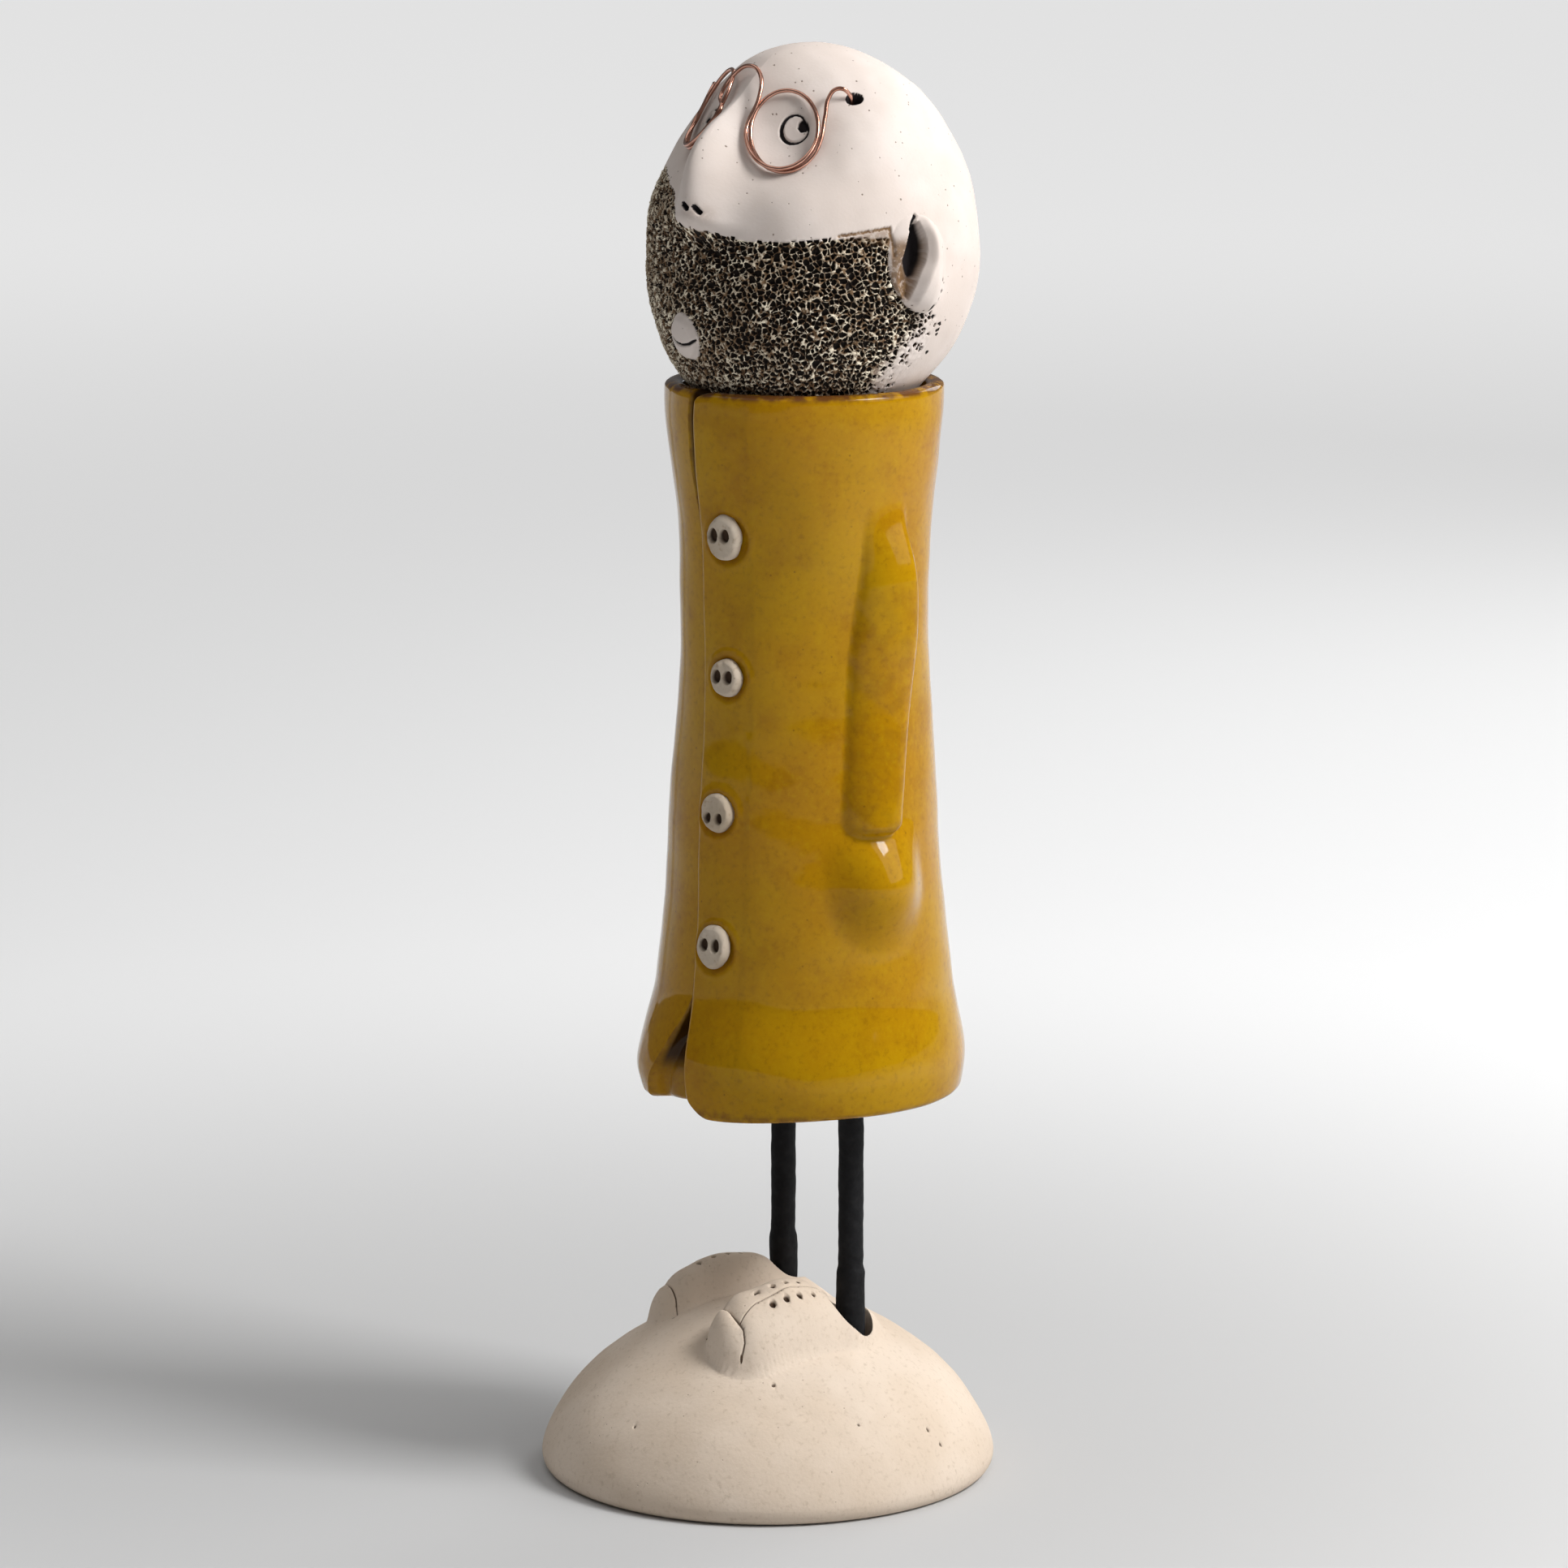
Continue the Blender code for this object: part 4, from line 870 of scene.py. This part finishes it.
def shoe_height(across, along, side):
    """Height of a shoe, whose crest lies inwards of its middle."""
    inner = 9.6 * spline(SHOE_INNER, along)
    outer, crest, share = (spline(line, along) for line in (SHOE_OUTER, SHOE_CREST, SHOE_SHARE))
    sunk = 4.5 * ease((along - 27.0) / 8.0)
    if side < 0:
        share = share * (0.93 - 0.05 * ease((along - 22.0) / 13.0) + 0.17 * hump(along - 3.0, 6.5))
    off = np.abs(across - crest)
    reach = np.maximum(np.where(across > crest, outer - crest, inner + crest), 0.6)
    power = 0.44 + 0.06 * ease((along - 22.0) / 8.0)
    section = np.maximum(1.0 - (off / reach) ** 2.1, 0.0) ** power
    up = (20.5 * share + sunk) * section - sunk
    up = up - 3.0 * np.maximum(off - reach, 0.0)
    up = up - 6.0 * np.maximum(along - TOE_END, 0.0) - 3.0 * np.maximum(HEEL_END - along, 0.0)
    cap = ease((along - 31.0) / 0.8) * ease((37.0 - along) / 3.0)
    return 28.0 + up + 0.4 * cap


TOE_LINE = ((-8.7, 33.3), (-8.3, 32.1), (-6.2, 31.6), (-2.9, 31.7), (1.2, 31.0), (4.2, 30.2),
            (5.7, 30.5), (6.3, 31.6))
LACE_LINE = ((3.0, 30.6), (1.6, 25.7), (1.2, 20.2), (0.1, 13.3), (-0.6, 9.0), (-0.8, 5.0))
EYELETS = {1: ((3.2, 22.1, 0.74), (3.0, 18.4, 0.68), (2.5, 14.8, 0.62), (1.9, 10.9, 0.45),
               (-1.5, 24.1, 0.66), (-1.0, 20.2, 0.6), (-1.2, 16.8, 0.5), (-1.4, 13.3, 0.4)),
           -1: ((3.6, 22.1, 0.7), (3.5, 18.4, 0.66), (3.0, 14.8, 0.6), (2.4, 11.2, 0.45),
                (-2.2, 23.6, 0.55), (-2.6, 19.9, 0.52), (-2.7, 16.3, 0.5), (-2.6, 12.8, 0.42))}
LINE_ENDS = ((6.35, 31.7, 0.24), (-8.7, 33.4, 0.38))
FOOT_PITS = ((27.7, -21.5, 0.45), (44.0, -9.0, 0.3), (47.5, 9.5, 0.35), (49.3, 12.0, 0.3),
             (6.0, -46.0, 0.3))


def foot_marks(x, y):
    """Depth in mm of the lines and holes in the shoes, and how dark they are."""
    marks = []
    for side in (1, -1):
        across, along = on_shoe(x, y, side)
        steep = 0.5 + 0.5 * ease((8.4 - np.abs(across)) / 2.0)
        for line, half in ((TOE_LINE, 0.16), (LACE_LINE, 0.12)):
            cut = ease((half * steep + 0.18 - path_distance(across, along, line)) / 0.24)
            marks.append((0.5 * cut, 0.62 * cut))
        for at, far, size in EYELETS[side] + LINE_ENDS:
            cut = ease((size + 0.2 - np.hypot(across - at, along - far)) / 0.28)
            marks.append(((1.5 if size > 0.4 else 0.5) * cut, cut))
        # The ankle hole round the rod is painted dark inside: painted shade.
        reach = np.hypot(across / 4.5, (along - 0.4) / 5.6)
        marks.append((7.5 * ease((1.06 - reach) / 0.14), ease((0.98 - reach) / 0.1)))
    for at, up, size in FOOT_PITS:
        cut = ease((size + 0.2 - np.hypot(x - at, y - up)) / 0.3)
        marks.append((0.5 * cut, 0.6 * cut))
    return np.max(marks, axis=0)


def foot_top(x, y):
    """Height of the foot's upper side in mm, and the darkness of its marks."""
    height = dome_height(x, y)
    for side in (1, -1):
        across, along = on_shoe(x, y, side)
        inside = ease((2.0 - across) / 6.0) * (1.0 - 0.8 * ease((along - 28.0) / 5.0))
        height = smooth_max(height, shoe_height(across, along, side), 1.3 + 2.4 * inside)
    place = np.stack((x, y, height), -1) * MM
    soft = ease((FOOT_RADIUS - np.hypot(x, y)) / 4.0)
    height = height + (0.35 * waves(place, 30 * MM, 21) + 0.08 * waves(place, 7 * MM, 22)) * soft
    depth, dark = foot_marks(x, y)
    return height - depth, dark


def disc_grid(steps, radius):
    """Points of a square grid bent into a disc whose rows crowd towards the rim."""
    u, v = np.meshgrid(np.linspace(-1.0, 1.0, steps + 1), np.linspace(-1.0, 1.0, steps + 1))
    wide = np.abs(u) >= np.abs(v)
    reach = np.where(wide, u, v)
    other = np.where(wide, v, u)
    turn = math.pi / 4 * other / np.where(reach == 0.0, 1.0, reach)
    x = np.where(wide, np.cos(turn), np.sin(turn)) * np.sign(reach)
    y = np.where(wide, np.sin(turn), np.cos(turn)) * np.sign(reach)
    far = radius * np.sin(np.abs(reach) * math.pi / 2)
    return np.stack((x * far, y * far, np.zeros_like(x)), axis=-1)


def split_near(work, near):
    """Halves the edges whose two ends both lie near the marked places."""
    chosen = [edge for edge in work.edges if all(near[vert.index] for vert in edge.verts)]
    bmesh.ops.subdivide_edges(work, edges=chosen, cuts=1, use_grid_fill=True)
    work.verts.ensure_lookup_table()
    work.verts.index_update()


def vert_places(work):
    return np.array([vert.co for vert in work.verts])


def near_shoes(x, y):
    near = np.zeros(len(x), bool)
    for side in (1, -1):
        across, along = on_shoe(x, y, side)
        near |= (np.abs(across) < 13.5) & (along > -13.0) & (along < 40.5)
    return near


def near_marks(x, y, reach):
    """Places whose surroundings have a mark's edge, but not the ankle's deep hole."""
    near = np.zeros(len(x), bool)
    for turn in np.linspace(0.0, 2 * math.pi, 9)[:8]:
        depth, _ = foot_marks(x + reach * math.cos(turn), y + reach * math.sin(turn))
        near |= (depth > 0.02) & (depth < 7.2)
    return near


def foot_under():
    """Rim and domed hollow of the underside, from the loop round the upper side's grid."""
    hollow = [math.radians(3 + 6 * step) for step in range(15)]
    profile = np.array([(FOOT_RADIUS, RIM_HEIGHT), (54.45, 2.6), (54.2, 1.6), (53.7, 0.8),
                        (53.1, 0.25), (52.4, 0.0), (46.2, 0.0), (45.8, 0.4)]
                       + [(46.0 * math.cos(angle), 26.5 * math.sin(angle)) for angle in hollow])
    rim = disc_grid(FOOT_STEPS, FOOT_RADIUS)
    loop = np.concatenate((rim[0, :-1], rim[:-1, -1], rim[-1, :0:-1], rim[:0:-1, 0]))
    angle = np.arctan2(loop[:, 1], loop[:, 0])
    reach, height = profile[:, 0, None], profile[:, 1, None]
    grid = np.stack((reach * np.cos(angle), reach * np.sin(angle),
                     np.tile(height, (1, len(angle)))), axis=-1) * MM
    return grid_mesh("foot_under", grid, {"mark": np.zeros(grid.shape[:2])}, wrap_columns=True)


def make_foot():
    work = bmesh.new()
    work.from_mesh(grid_mesh("foot_top", disc_grid(FOOT_STEPS, FOOT_RADIUS)))
    split_near(work, near_shoes(*vert_places(work).T[:2]))
    for reach in (0.45, 0.22):
        split_near(work, near_marks(*vert_places(work).T[:2], reach))
    places = vert_places(work)
    places[:, 2], dark = foot_top(places[:, 0], places[:, 1])
    layer = work.verts.layers.float.new("mark")
    for vert, place, value in zip(work.verts, places, dark):
        vert.co = place * MM
        vert[layer] = value
    work.from_mesh(foot_under())
    bmesh.ops.remove_doubles(work, verts=work.verts, dist=0.02 * MM)
    bmesh.ops.recalc_face_normals(work, faces=work.faces)
    mesh = bpy.data.meshes.new("foot")
    work.to_mesh(mesh)
    work.free()
    mesh.shade_smooth()
    material = clay_material("foot_clay", (0.72, 0.605, 0.495, 1), (0.66, 0.54, 0.425, 1),
                             (0.45, 0.34, 0.24, 1))
    add_piece("foot", mesh, "foot_clay", material, "base")


ROD_RADIUS = 3.0 * MM
ROD_ENDS = (30.8 * MM, 134.2 * MM)


def make_legs():
    material, nodes = shader("black_rod")
    rest = nodes.place()
    grey = nodes.wash((0.0035, 0.0035, 0.0045, 1), nodes.noise(rest, 400.0, 3.0), 0.4, 0.75,
                      (0.009, 0.009, 0.010, 1))
    nodes.surface(grey, 0.75, specular=0.25)
    nodes.bump(nodes.noise(rest, 700.0, 3.0), 0.25 * MM)
    for side, word in ((1, "left"), (-1, "right")):
        middle = leg_place(side)
        height = np.linspace(*ROD_ENDS, 260)
        angle = np.linspace(0.0, 2 * math.pi, 41)[:-1]
        level, turn = np.meshgrid(height, angle, indexing="ij")
        around_rod = np.stack((np.cos(turn) * ROD_RADIUS, np.sin(turn) * ROD_RADIUS, level), -1)
        radius = ROD_RADIUS + 0.05 * MM * waves(around_rod, 9 * MM, 31 + side)
        radius = radius + 0.05 * MM * waves(around_rod, 3.5 * MM, 35 + side)
        radius = radius + 0.45 * MM * ease((52.5 * MM - level) / (2.5 * MM))
        grid = np.stack((middle.x + radius * np.cos(turn), middle.y + radius * np.sin(turn),
                         level), -1)
        mesh = grid_mesh("rod_" + word, grid, wrap_columns=True, caps=True)
        add_piece("rod_" + word, mesh, "black_rod", material, "leg_" + word)


# Buttons

# heading, height, half width and half height of each, then the middle and size of its holes
BUTTONS = ((12.0, 228.6 * MM, 4.5, 5.5, -0.7, 0.7, 1.25),
           (12.3, 195.6 * MM, 4.1, 4.6, -0.4, 0.3, 1.2),
           (10.8, 163.9 * MM, 4.4, 4.7, -0.4, -1.3, 0.95),
           (11.6, 132.3 * MM, 4.4, 5.3, -0.3, 0.4, 1.15))


def coat_face(turned, height):
    """Point of the bare coat's face at an angle from the free edge and a height."""
    height = np.array(float(height))
    radius = coat_radius(height)
    to_crease = 360.0 - np.degrees(groove_width(height) / radius) - turned
    radius = radius + lap_step(turned, to_crease)
    return Vector(polar(seam_heading(height) + turned, radius, height).tolist())


def make_buttons():
    material = clay_material("button_clay", (0.56, 0.48, 0.39, 1), (0.44, 0.355, 0.26, 1),
                             (0.26, 0.16, 0.08, 1))
    for number, (heading, height, wide, tall, hole_x, hole_y, hole_size) in enumerate(BUTTONS):
        turned = heading - float(seam_heading(np.array(height)))
        here = coat_face(turned, height)
        above = coat_face(turned, height + 1.0 * MM)
        beside = coat_face(turned + 2.0, height)
        outward = (beside - here).cross(above - here).normalized()
        right = Vector((0.0, 0.0, 1.0)).cross(outward).normalized()
        matrix = Matrix((right, outward.cross(right), outward)).transposed().to_4x4()
        matrix.translation = here
        grid = disc_grid(84, 1.0)
        spin = np.arctan2(grid[..., 1], grid[..., 0])
        reach = np.hypot(grid[..., 0], grid[..., 1])
        outline = 1.0 + 0.02 * np.sin(2 * spin + number * 2.1) + 0.016 * np.sin(5 * spin + number)
        x, y = grid[..., 0] * outline * wide, grid[..., 1] * outline * tall
        place = np.stack((x, y, np.full_like(x, 10.0 * number)), -1) * MM
        edge = np.clip((1.0 - reach) * wide / 1.1, 0.0, 1.0)
        z = -0.6 + 2.25 * np.sqrt(np.maximum(1.0 - (1.0 - edge) ** 2, 0.0))
        z = z + 0.12 * waves(place, 4 * MM, 41) + 0.05 * waves(place, 1.6 * MM, 42)
        hole = np.zeros_like(x)
        for side in (-1, 1):
            u, v = x - side * 1.6 - hole_x, (y - hole_y) / 1.3
            away = np.hypot(u, v) - hole_size
            away = away - 0.06 * np.sin(2 * np.arctan2(v, u) + number + side)
            hole = np.maximum(hole, ease(0.5 - away / 0.4))
        z = z - 1.75 * hole
        points = np.stack((x, y, z), -1) * MM
        name = "disc_%d" % (number + 1)
        # The holes are painted dark: painted shade.
        mesh = grid_mesh(name, points, {"mark": hole * 0.8})
        mesh.transform(matrix)
        add_piece(name, mesh, "button_clay", material, "button_%d" % (number + 1))


# Spectacles

def face_point(heading, rise, lift):
    heading, rise = np.array([float(heading)]), np.array([float(rise)])
    height = head_relief(heading, rise).height + lift
    return Vector(head_points(heading, rise, height)[0].tolist())


LENS_RISE = 53.7
LENS_WIDE = 7.9 * MM
LENS_TALL = 10.0 * MM


def lens_point(side, angle, lift, wider):
    """Point of the wire round a lens that lies on the face, at an angle from its ear side."""
    middle_rise = LENS_RISE - side * 2.7
    reach = float(egg_radius(np.array(middle_rise)))

    def rim_point(across, up):
        turn = math.degrees(8.2 * MM * across / reach) / math.cos(math.radians(middle_rise))
        rise = middle_rise + math.degrees(10.25 * MM * up / reach)
        return face_point(FACE + side * (30.0 + turn), rise, 0.0)

    ear, nose = rim_point(1, 0), rim_point(-1, 0)
    top, bottom = rim_point(0, 1), rim_point(0, -1)
    middle = (ear + nose + top + bottom) / 4
    across = (ear - nose).normalized() * (LENS_WIDE + wider)
    up = (top - bottom).normalized() * (LENS_TALL + wider)
    outward = across.cross(up).normalized() * side
    turn = math.radians(angle)
    return middle + across * math.cos(turn) + up * math.sin(turn) + outward * lift


WIRE_RADIUS = 0.5 * MM
WIRE_LIFT = 1.5 * MM
TEMPLE_WIRE = ((0.0, 2.2, -3.0), (0.6, 2.2, -0.2), (5.0, 3.2, 2.0), (10.5, 3.8, 2.7),
               (16.0, 1.6, 2.6), (19.0, -3.0, 2.0))


def wire_half(side):
    """Half of the wire: out of the temple, one and a half turns round the lens, to the bridge."""
    points = []
    low = 0.45 if side < 0 else 1.0
    for back, up, out in TEMPLE_WIRE:
        out = out * low if out > 0 else out
        points.append(face_point(FACE + side * (70.0 - back), 57.0 + up, out * MM))
    for angle in range(-20, -541, -20):
        first = np.clip((-20.0 - angle) / 160.0, 0.0, 1.0)
        last = np.clip((-380.0 - angle) / 160.0, 0.0, 1.0)
        wider = 1.05 * MM * float(ease(1.0 - first) + ease(last))
        over = 1.1 * MM * math.sin(math.pi * last)
        points.append(lens_point(side, angle, WIRE_LIFT + over, wider))
    for off, rise in ((16.5, 60.0), (12.5, 66.5)):
        points.append(face_point(FACE - 2.6 + side * off, rise, WIRE_LIFT + 0.8 * MM))
    return points


def make_spectacles():
    material, nodes = shader("copper_wire")
    rest = nodes.place()
    tint = nodes.wash((0.60, 0.33, 0.25, 1), nodes.noise(rest, 200.0, 3.0), 0.35, 0.7,
                      (0.34, 0.15, 0.10, 1))
    nodes.surface(tint, 0.2, metallic=1.0)
    nodes.bump(nodes.noise(rest, 900.0), 0.03 * MM)
    bridge = face_point(FACE - 3.2, 68.8, 2.3 * MM)
    route = wire_half(1) + [bridge] + wire_half(-1)[::-1]
    curve = bpy.data.curves.new("wire", "CURVE")
    curve.dimensions = "3D"
    curve.bevel_depth = WIRE_RADIUS
    curve.bevel_resolution, curve.resolution_u = 4, 8
    curve.use_fill_caps = True
    path = curve.splines.new("BEZIER")
    path.bezier_points.add(len(route) - 1)
    for point, place in zip(path.bezier_points, route):
        point.co = place
        point.handle_left_type = point.handle_right_type = "AUTO"
    carrier = link("wire_curve", curve)
    mesh = evaluated_mesh(carrier)
    bpy.data.objects.remove(carrier)
    mesh.shade_smooth()
    mesh.materials.clear()
    add_piece("wire_spectacles", mesh, "copper_wire", material, "spectacles")


# Studio: floor, world and lights

FLOOR_HALF = 6.0
FLOOR_HEIGHT = -0.0002
LIGHT_AIM = (0.0, 0.0, 0.18)
LAMPS = {"key": (117.0, 0.82, 1.02, (0.36, 0.36), 11.5),
         "fill": (122.0, 1.15, 0.95, (1.2, 1.2), 9.5),
         "rim": (200.0, 1.2, 0.9, (0.5, 1.0), 4.0)}
WHITE = (1.0, 1.0, 1.0, 1.0)


def make_floor():
    material, nodes = shader("floor")
    reach = nodes.node("ShaderNodeVectorMath", {0: nodes.place()},
                       operation="LENGTH").outputs["Value"]
    # Painted light and shade on the floor: darker near the figure, which cuts the light it throws
    # back up, and glowing more further out, which lights the figure from all round.
    grey = nodes.wash((0.52, 0.52, 0.52, 1), reach, 0.10, 0.60, (0.90, 0.90, 0.90, 1))
    inputs = nodes.surface(grey, 0.9)
    inputs["Emission Color"].default_value = WHITE
    nodes.feed(inputs["Emission Strength"], nodes.remap(reach, 0.20, 3.0, 0.0, 0.44))
    mesh = bpy.data.meshes.new("floor")
    mesh.from_pydata([(x * FLOOR_HALF, y * FLOOR_HALF, FLOOR_HEIGHT)
                      for x, y in ((-1, -1), (1, -1), (1, 1), (-1, 1))], [], [(0, 1, 2, 3)])
    mesh.materials.append(material)
    link("floor", mesh)


def add_lamp(name, heading, distance, height, size, power):
    data = bpy.data.lights.new(name, "AREA")
    data.shape = "RECTANGLE"
    data.size, data.size_y = size
    data.energy = power
    x, y = (direction(np.array(heading)) * distance)[:2]
    look_at(link(name, data), (x + AXIS_X, y + AXIS_Y, height), LIGHT_AIM)


def make_lights():
    bpy.context.scene.view_settings.view_transform = "Standard"
    world = bpy.data.worlds.new("world")
    bpy.context.scene.world = world
    world.use_nodes = True
    back = world.node_tree.nodes["Background"]
    back.inputs["Color"].default_value = WHITE
    back.inputs["Strength"].default_value = 0.15
    for name, settings in LAMPS.items():
        add_lamp(name, *settings)
    sun = bpy.data.lights.new("overhead", "SUN")
    sun.energy = 0.68
    sun.angle = math.radians(60.0)
    link("overhead", sun).rotation_euler = (math.radians(8.0), math.radians(-14.0), 0.0)


make_camera()
make_floor()
make_lights()
make_head()
make_coat()
make_foot()
make_legs()
make_buttons()
make_spectacles()
